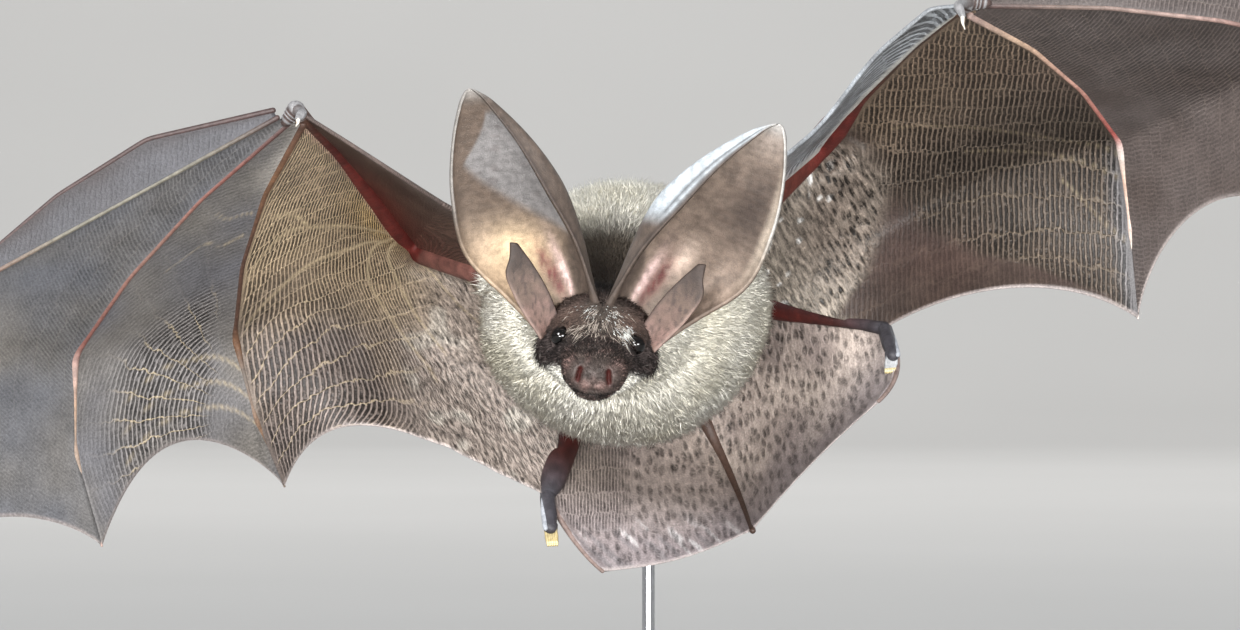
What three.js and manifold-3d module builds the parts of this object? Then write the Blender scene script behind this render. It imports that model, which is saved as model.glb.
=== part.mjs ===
// A desert long-eared bat (Otonycteris hemprichii) in flight, life size, as a museum shows it:
// a still model on a round base, held by one thin rod that bends into the rump.
// Millimetres, +Z up. +X is the bat's left, +Y runs from its nose to its tail.
// The origin is the centre of the base's underside. The solids of the body are the outline of the
// coat, out to the tips of the hair. Neighbouring solids stay a GAP apart.
import * as THREE from 'three';
import { mergeVertices } from 'three/addons/utils/BufferGeometryUtils.js';
import Module from 'manifold-3d';

const wasm = await Module();
wasm.setup();

// ---------------------------------------------------------------- driving dimensions

const GAP = 0.32;                     // left between neighbouring solids
const MEMBRANE_THICKNESS = 0.6;
const EAR_THICKNESS = 0.8;

const FLIGHT_DATUM = [0, -45, 75];    // the body's own datum, on the level of the shoulders

const STAND = {
  baseRadius: 55, baseHeight: 8, bevel: 1.2,
  rodRadius: 1.0, rodX: 4.5, rodY: 42, bendRadius: 9, bendTop: 73, reachIntoRump: 9,
};

const HEAD = { eyeMiddle: [-3.1, 0, -3.4], noseDown: 13, tilt: 6.5 };

// Across the head from the nose to the nape: [y, top, bottom, half width], in the head's frame.
const HEAD_SECTIONS = [
  [-11.3, -2.0, -4.2, 1.5], [-10.8, -1.0, -5.4, 3.2], [-9.4, -0.1, -6.6, 4.3],
  [-7.0, 0.6, -7.4, 4.7], [-4.0, 1.6, -8.0, 5.0], [-1.5, 2.9, -8.3, 5.9],
  [1.5, 4.6, -8.4, 7.4], [5.0, 6.0, -8.2, 8.2], [9.0, 6.8, -7.6, 8.3], [13.0, 6.6, -6.8, 7.9],
];
const EYE = { across: 5.35, y: -0.45, z: -0.1, radius: 1.48 };
const NOSTRIL = { across: 2.1, y: -11.0, z: -3.0, halfSize: [0.5, 0.9, 1.2], turn: 10 };

// Along the trunk: [y, x, z, half width, rise, drop, roll in degrees] at each section.
const TRUNK_SECTIONS = [
  [22, -1.5, 1.5, 12.0, 12.0, 13.0, 8], [28, -0.5, 1.0, 18.5, 17.0, 17.5, 10],
  [35, 0.3, 0.5, 22.0, 20.3, 20.0, 12], [43, 1.3, -0.5, 22.6, 20.8, 20.0, 15],
  [51, 2.6, -2.3, 20.5, 18.8, 18.0, 18], [59, 4.2, -4.5, 16.5, 15.5, 14.5, 22],
  [66, 5.8, -6.6, 11.5, 10.5, 10.0, 25], [70.5, 6.8, -8.0, 6.0, 5.5, 5.5, 25],
  [72, 7.2, -8.6, 2.0, 2.0, 2.0, 25],
];
const TRUNK_POINTEDNESS = 1.85;       // 2 is an ellipse, less draws the flanks in

// Ear and tragus edges in the head's frame, for the bat's left side: [across, y, z], root to tip.
const EAR = {
  frontEdge: [[0.9, 2.0, 4.4], [5.0, 0.5, 13.7], [9.7, -0.3, 20.5], [14.5, -0.2, 27.0], [21.4, 0.2, 34.2]],
  backEdge: [[7.3, 3.5, -1.6], [13.5, 4.5, 3.2], [20.3, 4.8, 9.0], [23.0, 3.8, 17.0],
    [23.7, 2.2, 26.5], [22.9, 0.5, 33.8]],
  troughDepth: 9, inwardSwell: { right: 11, left: 14 },
  tipStart: 0.94,                     // from here the two edges close round the tip
};
const TRAGUS = {
  innerEdge: [[5.6, 3.6, 0.9], [7.9, 3.2, 5.5], [10.2, 2.8, 8.8], [12.9, 2.2, 12.0]],
  outerEdge: [[8.2, 1.8, -1.4], [12.7, 1.6, 4.6], [14.2, 1.6, 7.9], [13.9, 1.8, 9.8], [14.1, 2.0, 12.1]],
  thickness: 0.9,
};

// Bone lengths, shared by both wings and both legs.
const BONE = {
  humerus: 36, forearm: 59,
  metacarpal3: 54.5, phalanx3a: 20.5, phalanx3b: 28,
  metacarpal4: 53, phalanx4a: 15, phalanx4b: 15,
  metacarpal5: 51, phalanx5a: 12.8, phalanx5b: 14.2,
  femur: 19, tibia: 27, foot: 7, toe: 4.5, calcar: 16,
};

// The pose: each bone's heading (degrees from +X towards +Y) and climb (degrees above level).
const WINGS = {
  right: {
    side: -1, shoulder: [-11.9, 30, 3.4], neckEdge: [-13, 30, 9],
    humerus: [125, 11], forearm: [-105, 19],
    metacarpal5: [107, -40], phalanx5a: [45, -71], phalanx5b: [65, -49],
    metacarpal4: [149, -42], phalanx4a: [95, -72], phalanx4b: [45, -70],
    metacarpal3: [175, -28], phalanx3a: [152, -59], phalanx3b: [-176, -67],
    armTrail: [0.17, 0.60, 0.60, 0.24], handTrail: 0.165, outerTrail: 0.08,
  },
  left: {
    side: 1, shoulder: [11.3, 30, 8.4], neckEdge: [13, 30, 14],
    humerus: [53, 29], forearm: [-69, 19],
    metacarpal5: [58, -22], phalanx5a: [60, -74], phalanx5b: [5, -85],
    metacarpal4: [12, -6], phalanx4a: [3, -80], phalanx4b: [93, -75],
    metacarpal3: [3, 9], phalanx3a: [-6, -33], phalanx3b: [25, -47],
    armTrail: [0.25, 0.29, 0.66, 0.24], handTrail: 0.17, outerTrail: 0.08,
  },
};
const LEGS = {
  right: { side: -1, hip: [2.8, 60, -9.7], femur: [122, -12], tibia: [-100, -31],
    foot: [-84, -42], calcar: [-43, -44], calcarBow: [0, 0, -2.2] },
  left: { side: 1, hip: [8.6, 60, -4.8], femur: [48, 20], tibia: [-42, -8],
    foot: [-80, -35], calcar: [-97, -43], calcarBow: [4.5, 0, -1] },
};
const TAIL = {
  root: [7.4, 64, -8.4], downBend: [11, 88, -10], upBend: [19, 86, -28], tip: [20.3, 57, -33],
};

const BONE_RADII = {
  humerus: [3.2, 2.9, 2.6], forearm: [2.6, 2.3, 1.7, 1.3, 1.6], carpus: 1.8,
  finger: { base: 0.65, shaft: 0.46, knuckle: 0.66, phalanx: 0.4, joint: 0.5, tip: 0.27 },
  fingerShare: { 2: 0.8, 3: 0.85, 4: 0.95, 5: 1.1 },
  femur: [3.4, 2.2], tibia: [2.0, 1.5, 1.0, 1.2], tail: [1.5, 1.0, 0.7, 0.45], calcar: 0.5,
};
const BOW = { forearm: 2.0, metacarpal: 3.2, leading: [6.3, 5.4, 3.0, 1.5] };
const CARPUS_STEP = 1.22;             // between the bases of neighbouring fingers
const FINGER_START = 2.6;             // from the wrist's centre

const MATERIALS = {
  coat: [0xd9d6c6, 0.95], face: [0x4a3f3a, 0.9], ear: [0x8a7264, 0.7], eye: [0x050505, 0.15],
  armSkin: [0x7c3b33, 0.6], finger: [0xa0604a, 0.6], membrane: [0x7d7069, 0.65],
  foot: [0x4b413d, 0.7], base: [0x2f2b28, 0.5], steel: [0xb9bcc0, 0.3],
};

// ---------------------------------------------------------------- small helpers

const vec = ([x, y, z]) => new THREE.Vector3(x, y, z);
const radians = THREE.MathUtils.degToRad;
const mix = (a, b, t) => a.clone().lerp(b, t);
const swell = (t) => Math.sin(Math.PI * THREE.MathUtils.clamp(t, 0, 1));

/** A unit vector from a heading and a climb in degrees. */
function direction([heading, climb]) {
  const level = Math.cos(radians(climb));
  return new THREE.Vector3(
    level * Math.cos(radians(heading)), level * Math.sin(radians(heading)), Math.sin(radians(climb)));
}

const along = (start, length, angles) => start.clone().addScaledVector(direction(angles), length);

/** A point a fraction t of the way along a bent line of points. */
function onPath(points, t) {
  const lengths = points.slice(1).map((point, i) => point.distanceTo(points[i]));
  let left = t * lengths.reduce((sum, length) => sum + length, 0);
  for (let i = 0; i < lengths.length; i += 1) {
    if (left <= lengths[i]) return mix(points[i], points[i + 1], left / lengths[i]);
    left -= lengths[i];
  }
  return points[points.length - 1].clone();
}

/** One closed body: shared corners merged, flat triangles dropped, faces turned outward. */
function closedBody(positions, index) {
  const raw = new THREE.BufferGeometry();
  raw.setAttribute('position', new THREE.Float32BufferAttribute(positions, 3));
  raw.setIndex(index);
  const merged = mergeVertices(raw, 1e-4);
  const corners = merged.getIndex().array;
  const kept = [];
  for (let i = 0; i < corners.length; i += 3) {
    const [a, b, c] = [corners[i], corners[i + 1], corners[i + 2]];
    if (a !== b && b !== c && c !== a) kept.push(a, b, c);
  }
  merged.setIndex(kept);
  if (volume(merged) < 0) merged.setIndex(kept.reverse());
  return merged;
}

function volume(geometry) {
  const place = geometry.getAttribute('position');
  const corners = geometry.getIndex().array;
  const [a, b, c] = [new THREE.Vector3(), new THREE.Vector3(), new THREE.Vector3()];
  let sum = 0;
  for (let i = 0; i < corners.length; i += 3) {
    a.fromBufferAttribute(place, corners[i]);
    b.fromBufferAttribute(place, corners[i + 1]);
    c.fromBufferAttribute(place, corners[i + 2]);
    sum += a.dot(b.cross(c)) / 6;
  }
  return sum;
}

/** A body skinned over rings with the same number of points, closed by a fan at each end. */
function loft(rings) {
  const count = rings[0].length;
  const positions = [];
  const index = [];
  for (const ring of rings) for (const point of ring) positions.push(...point.toArray());
  for (let k = 0; k + 1 < rings.length; k += 1) {
    for (let i = 0; i < count; i += 1) {
      const [a, b] = [k * count + i, k * count + (i + 1) % count];
      index.push(a, b, b + count, a, b + count, a + count);
    }
  }
  const last = rings.length - 1;
  for (const [k, turned] of [[0, true], [last, false]]) {
    const centre = rings[k].reduce((sum, point) => sum.add(point), new THREE.Vector3()).divideScalar(count);
    const middle = positions.push(...centre.toArray()) / 3 - 1;
    for (let i = 0; i < count; i += 1) {
      const [a, b] = [k * count + i, k * count + (i + 1) % count];
      index.push(middle, turned ? b : a, turned ? a : b);
    }
  }
  return closedBody(positions, index);
}

/** A round limb through stops of [point, radius], with a domed end on each side. */
function limb(stops, sides = 8) {
  const dome = 0.55;
  const domeEnd = ([point, radius], [inner]) => {
    const outward = point.clone().sub(inner).normalize();
    return [point.clone().addScaledVector(outward, dome * radius), dome * radius];
  };
  const last = stops.length - 1;
  const domed = [domeEnd(stops[0], stops[1]), ...stops, domeEnd(stops[last], stops[last - 1])];
  let across = null;
  const rings = domed.map(([point, radius], i) => {
    const before = domed[Math.max(i - 1, 0)][0];
    const after = domed[Math.min(i + 1, domed.length - 1)][0];
    const heading = after.clone().sub(before).normalize();
    across ??= Math.abs(heading.x) < 0.8 ? new THREE.Vector3(1, 0, 0) : new THREE.Vector3(0, 0, 1);
    across = across.clone().addScaledVector(heading, -across.dot(heading)).normalize();
    const up = heading.clone().cross(across);
    return Array.from({ length: sides }, (_, k) => {
      const angle = 2 * Math.PI * k / sides;
      return point.clone()
        .addScaledVector(across, radius * Math.cos(angle))
        .addScaledVector(up, radius * Math.sin(angle));
    });
  });
  return loft(rings);
}

/** A sheet of even thickness over pointAt(s, t), with s and t from 0 to 1. */
function sheet(pointAt, columns, rows, thickness) {
  const positions = [];
  const index = [];
  const row = columns + 1;
  const layer = row * (rows + 1);
  const step = 1e-3;
  for (const half of [thickness / 2, -thickness / 2]) {
    for (let j = 0; j <= rows; j += 1) {
      for (let i = 0; i <= columns; i += 1) {
        const [s, t] = [i / columns, j / rows];
        const alongS = pointAt(Math.min(s + step, 1), t).sub(pointAt(Math.max(s - step, 0), t));
        const alongT = pointAt(s, Math.min(t + step, 1)).sub(pointAt(s, Math.max(t - step, 0)));
        const normal = alongS.cross(alongT).normalize();
        positions.push(...pointAt(s, t).addScaledVector(normal, half).toArray());
      }
    }
  }
  for (let j = 0; j < rows; j += 1) {
    for (let i = 0; i < columns; i += 1) {
      const a = j * row + i;
      const [b, c, d] = [a + 1, a + row + 1, a + row];
      index.push(a, b, c, a, c, d);
      index.push(layer + a, layer + c, layer + b, layer + a, layer + d, layer + c);
    }
  }
  const border = [];
  for (let i = 0; i < columns; i += 1) border.push(i);
  for (let j = 0; j < rows; j += 1) border.push(j * row + columns);
  for (let i = columns; i > 0; i -= 1) border.push(rows * row + i);
  for (let j = rows; j > 0; j -= 1) border.push(j * row);
  border.forEach((a, k) => {
    const b = border[(k + 1) % border.length];
    index.push(a, layer + a, layer + b, a, layer + b, b);
  });
  return closedBody(positions, index);
}

// ---------------------------------------------------------------- joining and cutting

function toSolid(geometry) {
  return new wasm.Manifold(new wasm.Mesh({
    numProp: 3,
    vertProperties: Float32Array.from(geometry.getAttribute('position').array),
    triVerts: Uint32Array.from(geometry.getIndex().array),
  }));
}

/** The largest piece of a solid, as a geometry. */
function toGeometry(solid) {
  const pieces = solid.decompose().sort((a, b) => b.volume() - a.volume());
  const mesh = pieces[0].getMesh();
  return closedBody(Array.from(mesh.vertProperties), Array.from(mesh.triVerts));
}

const cut = (geometry, ...tools) => toGeometry(tools.reduce(
  (solid, tool) => solid.subtract(toSolid(tool)), toSolid(geometry)));

const join = (...geometries) => toGeometry(geometries.map(toSolid).reduce((sum, solid) => sum.add(solid)));

// ---------------------------------------------------------------- head

const headMatrix = new THREE.Matrix4()
  .makeTranslation(...HEAD.eyeMiddle)
  .multiply(new THREE.Matrix4().makeRotationY(radians(HEAD.tilt)))
  .multiply(new THREE.Matrix4().makeRotationX(radians(HEAD.noseDown)));
const inHead = (point) => point.clone().applyMatrix4(headMatrix);

/** One cross-section of the head in the body's frame, wider by grow. */
function headRing([y, top, bottom, halfWidth], grow = 0, sides = 16) {
  const middle = (top + bottom) / 2;
  const halfHeight = (top - bottom) / 2 + grow;
  return Array.from({ length: sides }, (_, k) => {
    const angle = 2 * Math.PI * k / sides;
    return inHead(new THREE.Vector3(
      (halfWidth + grow) * Math.cos(angle), y, middle + halfHeight * Math.sin(angle)));
  });
}

function headShape(grow = 0) {
  return loft(HEAD_SECTIONS.map((section, i) => {
    const shift = i === 0 ? -grow : 0;
    return headRing([section[0] + shift, ...section.slice(1)], grow);
  }));
}

function ball(centre, radius, segments = 12) {
  const geometry = new THREE.SphereGeometry(radius, segments, 0.7 * segments);
  const stretched = geometry.toNonIndexed();
  const place = stretched.getAttribute('position').array;
  return closedBody(Array.from(place), [...Array(place.length / 3).keys()]).translate(...centre.toArray());
}

const eyeCentre = (side) => inHead(new THREE.Vector3(side * EYE.across, EYE.y, EYE.z));

/** A nostril: a small upright hollow, its top leaning inward. */
function nostril(side) {
  const hollow = ball(new THREE.Vector3(), 1, 7);
  hollow.scale(...NOSTRIL.halfSize);
  hollow.rotateY(radians(-side * NOSTRIL.turn));
  hollow.translate(side * NOSTRIL.across, NOSTRIL.y, NOSTRIL.z);
  return hollow.applyMatrix4(headMatrix);
}

function head() {
  const sockets = [-1, 1].map((side) => ball(eyeCentre(side), EYE.radius + GAP, 8));
  return cut(headShape(), ...sockets, nostril(-1), nostril(1));
}

function curveThrough(points, side) {
  return new THREE.CatmullRomCurve3(points.map(([x, y, z]) => new THREE.Vector3(side * x, y, z)));
}

/** The ear: a deep trough between its front and back edges, swelling inward and backward. */
function ear(side) {
  const front = curveThrough(EAR.frontEdge, side);
  const back = curveThrough(EAR.backEdge, side);
  const fullSwell = side < 0 ? EAR.inwardSwell.right : EAR.inwardSwell.left;
  const pointAt = (s, height) => {
    const t = 1 - (1 - height) ** 1.3;  // rows drawn closer together towards the tip
    const depth = EAR.troughDepth * (1 - t) ** 0.55 * (0.55 + 0.45 * swell(t / 0.8 + 0.1));
    const inward = fullSwell * swell(t) ** 0.7 * (0.5 + 0.5 * THREE.MathUtils.smoothstep(t, 0.15, 0.6));
    const a = front.getPointAt(t);
    const d = back.getPointAt(t);
    const b = a.clone().add(new THREE.Vector3(-side * inward, depth * 0.9, 0));
    const c = mix(d, a, 0.25).add(new THREE.Vector3(0, depth * 1.15, 0));
    const point = new THREE.CubicBezierCurve3(a, b, c, d).getPoint(s);
    const overTip = Math.max(0, (t - EAR.tipStart) / (1 - EAR.tipStart));
    const width = Math.max(0.3, Math.sqrt(1 - overTip ** 2));
    return inHead(mix(mix(a, d, 0.5), point, width));
  };
  return cut(sheet(pointAt, 7, 10, EAR_THICKNESS), headShape(GAP), neckShape(GAP), trunkShape(GAP));
}

function tragus(side) {
  const inner = curveThrough(TRAGUS.innerEdge, side);
  const outer = curveThrough(TRAGUS.outerEdge, side);
  const pointAt = (s, t) => inHead(mix(inner.getPointAt(t), outer.getPointAt(t), s));
  return cut(sheet(pointAt, 3, 7, TRAGUS.thickness), headShape(GAP));
}

// ---------------------------------------------------------------- trunk, neck and tail

/** One cross-section of the trunk, wider by grow: a soft lozenge, rolled about the length. */
function trunkRing([y, x, z, halfWidth, rise, drop, roll], grow = 0, sides = 24) {
  const power = 2 / TRUNK_POINTEDNESS;
  return Array.from({ length: sides }, (_, k) => {
    const angle = 2 * Math.PI * k / sides;
    const [c, s] = [Math.cos(angle), Math.sin(angle)];
    const point = new THREE.Vector3(
      (halfWidth + grow) * Math.sign(c) * Math.abs(c) ** power, 0,
      ((s > 0 ? rise : drop) + grow) * Math.sign(s) * Math.abs(s) ** power);
    point.applyAxisAngle(new THREE.Vector3(0, 1, 0), radians(-roll));
    return point.add(new THREE.Vector3(x, y, z));
  });
}

function trunkShape(grow = 0) {
  const last = TRUNK_SECTIONS.length - 1;
  return loft(TRUNK_SECTIONS.map(([y, ...rest], i) => {
    const shift = i === last ? grow : i === 0 ? -grow : 0;
    return trunkRing([y + shift, ...rest], grow);
  }));
}

const trunk = () => cut(trunkShape(), rodShape(GAP));

/** The neck: from the back of the head to the front of the trunk, full of fur. */
function neckShape(grow = 0) {
  const sides = 24;
  const rear = HEAD_SECTIONS[HEAD_SECTIONS.length - 1];
  const atHead = headRing([rear[0] + GAP, ...rear.slice(1)], grow, sides);
  const front = TRUNK_SECTIONS[0];
  const atTrunk = trunkRing([front[0] - GAP, ...front.slice(1)], grow, sides);
  const between = atHead.map((point, i) => mix(point, atTrunk[i], 0.5));
  return loft([atHead, between, atTrunk]);
}

const tailCurve = new THREE.CubicBezierCurve3(
  vec(TAIL.root), vec(TAIL.downBend), vec(TAIL.upBend), vec(TAIL.tip));

function tailShape(grow = 0) {
  const radii = BONE_RADII.tail;
  const steps = 10;
  const stops = Array.from({ length: steps + 1 }, (_, i) => {
    const t = i / steps;
    const place = t * (radii.length - 1);
    const k = Math.min(Math.floor(place), radii.length - 2);
    return [tailCurve.getPointAt(t), THREE.MathUtils.lerp(radii[k], radii[k + 1], place - k) + grow];
  });
  return limb(stops, 6);
}

const tail = () => cut(tailShape(), trunkShape(GAP));

// ---------------------------------------------------------------- wings

/** Every joint of one wing, worked out along its bones from the shoulder. */
function wingJoints(pose) {
  const shoulder = vec(pose.shoulder);
  const elbow = along(shoulder, BONE.humerus, pose.humerus);
  const wrist = along(elbow, BONE.forearm, pose.forearm);
  const fingers = {};
  for (const digit of [3, 4, 5]) {
    const knuckle = along(wrist, BONE[`metacarpal${digit}`], pose[`metacarpal${digit}`]);
    const joint = along(knuckle, BONE[`phalanx${digit}a`], pose[`phalanx${digit}a`]);
    const tip = along(joint, BONE[`phalanx${digit}b`], pose[`phalanx${digit}b`]);
    fingers[digit] = [knuckle, joint, tip];
  }
  const fan = fingers[5][0].clone().sub(fingers[3][0]).normalize();
  for (const digit of [3, 4, 5]) {
    const knuckle = fingers[digit][0];
    const base = wrist.clone()
      .addScaledVector(knuckle.clone().sub(wrist).normalize(), FINGER_START)
      .addScaledVector(fan, (digit - 3.45) * CARPUS_STEP);
    const bow = digit === 3 ? 0 : BOW.metacarpal;
    const bowed = [1 / 3, 2 / 3].map((t) => mix(base, knuckle, t).addScaledVector(fan, -bow * swell(t)));
    fingers[digit].unshift(base, ...bowed);
  }
  const [base3, , , knuckle3] = fingers[3];
  const shaft = knuckle3.clone().sub(base3).normalize();
  const lead = new THREE.Vector3(0, 0, 1).addScaledVector(shaft, -shaft.z).normalize();
  const leading = [0.35, 0.65, 0.88, 0.985].map((t, i) => (
    mix(base3, knuckle3, t).addScaledVector(lead, BOW.leading[i])));
  fingers[2] = [base3.clone().addScaledVector(lead, CARPUS_STEP), ...leading];
  const forward = new THREE.Vector3(0, -0.6, 0.8);
  const arm = [0.3, 0.65].map((t) => mix(elbow, wrist, t).addScaledVector(forward, BOW.forearm * swell(t)));
  return { shoulder, elbow, wrist, fingers, forearm: [elbow, ...arm, wrist] };
}

/** The upper arm's shape over a share of the way from the shoulder to the elbow. */
function upperArmShape(joints, grow = 0, reach = 1) {
  const radii = BONE_RADII.humerus;
  return limb(radii.map((radius, i) => [
    mix(joints.shoulder, joints.elbow, reach * i / (radii.length - 1)), radius + grow]));
}

function forearmShape(joints, grow = 0) {
  const radii = BONE_RADII.forearm;
  const stops = radii.map((radius, i) => [onPath(joints.forearm, i / (radii.length - 1)), radius + grow]);
  return limb(stops);
}

const upperArm = (joints) => cut(
  upperArmShape(joints, 0, 0.93), trunkShape(GAP), forearmShape(joints, GAP));

/** Radii along a finger's shaft and its phalanges, never thinner than the tip. */
function fingerRadii(digit) {
  const { base, shaft, knuckle, phalanx, joint, tip } = BONE_RADII.finger;
  const share = BONE_RADII.fingerShare[digit];
  const sized = (radii) => radii.map((radius) => Math.max(radius * share, tip));
  if (digit === 2) return { shaft: sized([base, shaft, shaft * 0.9, shaft * 0.8, tip]), phalanges: [] };
  return {
    shaft: sized([base, shaft, shaft, knuckle]),
    phalanges: sized([phalanx, joint, phalanx * 0.85, tip]),
  };
}

/** Long finger: a metacarpal and two phalanges with swollen knuckles; the second finger is one rod. */
function finger(joints, digit) {
  const path = joints.fingers[digit];
  const { shaft, phalanges } = fingerRadii(digit);
  if (digit === 2) return limb(path.map((point, i) => [point, shaft[i]]), 6);
  const [base, bowA, bowB, knuckle, joint, tip] = path;
  const stops = [[base, shaft[0]], [bowA, shaft[1]], [bowB, shaft[1]]];
  stops.push([mix(bowB, knuckle, 0.85), shaft[2]], [knuckle, shaft[3]]);
  stops.push([mix(knuckle, joint, 0.14), phalanges[0]], [mix(knuckle, joint, 0.9), phalanges[0]]);
  stops.push([joint, phalanges[1]], [mix(joint, tip, 0.14), phalanges[2]], [tip, phalanges[3]]);
  return cut(limb(stops, 6), forearmShape(joints, GAP));
}

/** The thumb and its claw, forward of the wrist. */
function thumb(joints, side) {
  const forward = direction([side > 0 ? -115 : -65, -10]);
  const start = joints.wrist.clone().addScaledVector(forward, BONE_RADII.carpus + GAP + 0.9);
  const middle = start.clone().addScaledVector(forward, 3.2);
  const end = middle.clone().add(new THREE.Vector3(side * 0.6, -1.8, -1.6));
  const claw = end.clone().add(new THREE.Vector3(side * 0.3, -0.5, -2.2));
  return limb([[start, 0.9], [middle, 0.75], [end, 0.6], [claw, 0.26]], 6);
}

/** A membrane between two fingers, from near the wrist to a hollowed trailing edge. */
function fingerMembrane(pathA, pathB, radii, trail, skew, columns, rows) {
  const narrowest = radii[0] + radii[1] + 2 * GAP + 0.7;
  let start = 0.02;
  while (onPath(pathA, start).distanceTo(onPath(pathB, start)) < narrowest) start += 0.01;
  const pointAt = (s, t) => {
    const warped = s ** skew;
    const end = 1 - trail * 4 * warped * (1 - warped);
    const place = start + (end - start) * t;
    const a = onPath(pathA, place);
    const b = onPath(pathB, place);
    const width = a.distanceTo(b);
    const [insetA, insetB] = radii.map((radius) => (radius + GAP + 0.12) / width);
    return mix(a, b, insetA + (1 - insetA - insetB) * s);
  };
  return sheet(pointAt, columns, rows, MEMBRANE_THICKNESS);
}

/** The membrane of the arm: a patch held by the arm, the fifth finger, the ankle and the flank. */
function armMembrane(joints, pose, leg) {
  const arm = [joints.shoulder, ...joints.forearm];
  const digit = [joints.wrist, ...joints.fingers[5].slice(1)];
  const tip = digit[digit.length - 1];
  const chord = leg.ankle.clone().sub(tip);
  const lift = joints.wrist.clone().sub(tip);
  lift.addScaledVector(chord, -lift.dot(chord) / chord.lengthSq()).normalize();
  const pull = (share, height) => tip.clone()
    .addScaledVector(chord, share).addScaledVector(lift, height * chord.length());
  const [nearShare, nearPull, farShare, farPull] = pose.armTrail;
  const trail = new THREE.CubicBezierCurve3(
    leg.ankle.clone(), pull(farShare, farPull), pull(nearShare, nearPull), tip.clone());
  const flank = new THREE.CubicBezierCurve3(joints.shoulder.clone(),
    mix(joints.shoulder, leg.knee, 0.4), mix(leg.knee, leg.ankle, 0.1), leg.ankle.clone());
  const billow = 3.5;
  const patch = (u, v) => {
    const point = mix(onPath(arm, u), trail.getPoint(u), v);
    point.add(mix(flank.getPoint(v), onPath(digit, v), u));
    const top = mix(joints.shoulder, joints.wrist, u);
    const bottom = mix(leg.ankle, tip, u);
    point.sub(mix(top, bottom, v));
    point.y += billow * swell(u) * swell(v);
    return point;
  };
  const pointAt = (s, t) => patch(0.02 + 0.952 * s, 0.065 * (1 - t) + t);
  return cut(
    sheet(pointAt, 12, 7, MEMBRANE_THICKNESS), trunkShape(GAP), forearmShape(joints, GAP),
    upperArmShape(joints, GAP), fingerGrown(joints, 5), legGrown(leg));
}

/** Room for a finger: its line with the widest radius it has. */
function fingerGrown(joints, digit) {
  const widest = BONE_RADII.finger.knuckle * BONE_RADII.fingerShare[digit];
  return limb(joints.fingers[digit].map((point) => [point, widest + GAP]), 6);
}

/** The skin in front of the elbow, from the wrist to the side of the neck. */
function frontMembrane(joints, pose) {
  const arm = [...joints.forearm].reverse().concat(joints.shoulder);
  const edge = new THREE.LineCurve3(joints.wrist.clone(), vec(pose.neckEdge));
  const pointAt = (s, t) => {
    const place = 0.1 + 0.8 * s;
    const inner = onPath(arm, place);
    const outer = mix(edge.getPoint(place), inner, 0.05 * swell(place));
    return mix(inner, outer, 0.05 + 0.95 * t);
  };
  return cut(
    sheet(pointAt, 8, 3, MEMBRANE_THICKNESS), trunkShape(GAP), neckShape(GAP),
    forearmShape(joints, GAP), upperArmShape(joints, GAP));
}

// ---------------------------------------------------------------- legs and tail membrane

function legJoints(pose) {
  const hip = vec(pose.hip);
  const knee = along(hip, BONE.femur, pose.femur);
  const ankle = along(knee, BONE.tibia, pose.tibia);
  const ball = along(ankle, BONE.foot, pose.foot);
  const calcarTip = along(ankle, BONE.calcar, pose.calcar);
  return { hip, knee, ankle, ball, calcarTip, pose };
}

function legStops(leg, grow) {
  const [thigh, knee] = BONE_RADII.femur;
  const [calf, ...shin] = BONE_RADII.tibia;
  return [
    [leg.hip, thigh + grow], [mix(leg.hip, leg.knee, 0.85), knee + grow],
    [mix(leg.knee, leg.ankle, 0.12), calf + grow],
    ...shin.map((radius, i) => [mix(leg.knee, leg.ankle, 0.4 + 0.27 * i), radius + grow]),
  ];
}

const legGrown = (leg) => limb(legStops(leg, GAP));
const legShape = (leg) => cut(limb(legStops(leg, 0)), trunkShape(GAP));

/** The calcar, a thin bowed spur that spreads the tail membrane from the ankle. */
function calcarCurve(leg) {
  const middle = mix(leg.ankle, leg.calcarTip, 0.5).add(vec(leg.pose.calcarBow));
  return new THREE.QuadraticBezierCurve3(mix(leg.ankle, middle, 0.22), middle, leg.calcarTip);
}

function calcar(leg) {
  const curve = calcarCurve(leg);
  const stops = [0, 0.25, 0.5, 0.75, 1].map((t) => [curve.getPoint(t), BONE_RADII.calcar * (1 - 0.35 * t)]);
  return cut(limb(stops, 6), legGrown(leg), footRaw(leg, GAP));
}

/** The foot: a flat sole and five hooked toes. */
function footRaw(leg, grow = 0) {
  const heading = direction(leg.pose.foot);
  const start = leg.ankle.clone().addScaledVector(heading, 1.2 + GAP);
  const side = leg.pose.side;
  const across = new THREE.Vector3(side, 0, 0).addScaledVector(heading, -side * heading.x).normalize();
  const under = heading.clone().cross(across).multiplyScalar(side).normalize();
  const sole = limb([
    [start, 1.0 + grow], [mix(start, leg.ball, 0.6), 1.35 + grow], [leg.ball, 1.4 + grow]], 6);
  const toes = [-2, -1, 0, 1, 2].map((place) => {
    const root = leg.ball.clone().addScaledVector(across, place * 0.58);
    const middle = root.clone()
      .addScaledVector(heading, 0.55 * BONE.toe).addScaledVector(across, place * 0.12);
    const end = middle.clone().addScaledVector(heading, 0.2 * BONE.toe).addScaledVector(under, 2.0);
    return limb([[root, 0.48 + grow], [middle, 0.42 + grow], [end, 0.26 + grow]], 4);
  });
  return join(sole, ...toes);
}

const foot = (leg) => cut(footRaw(leg), legGrown(leg));

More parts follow.
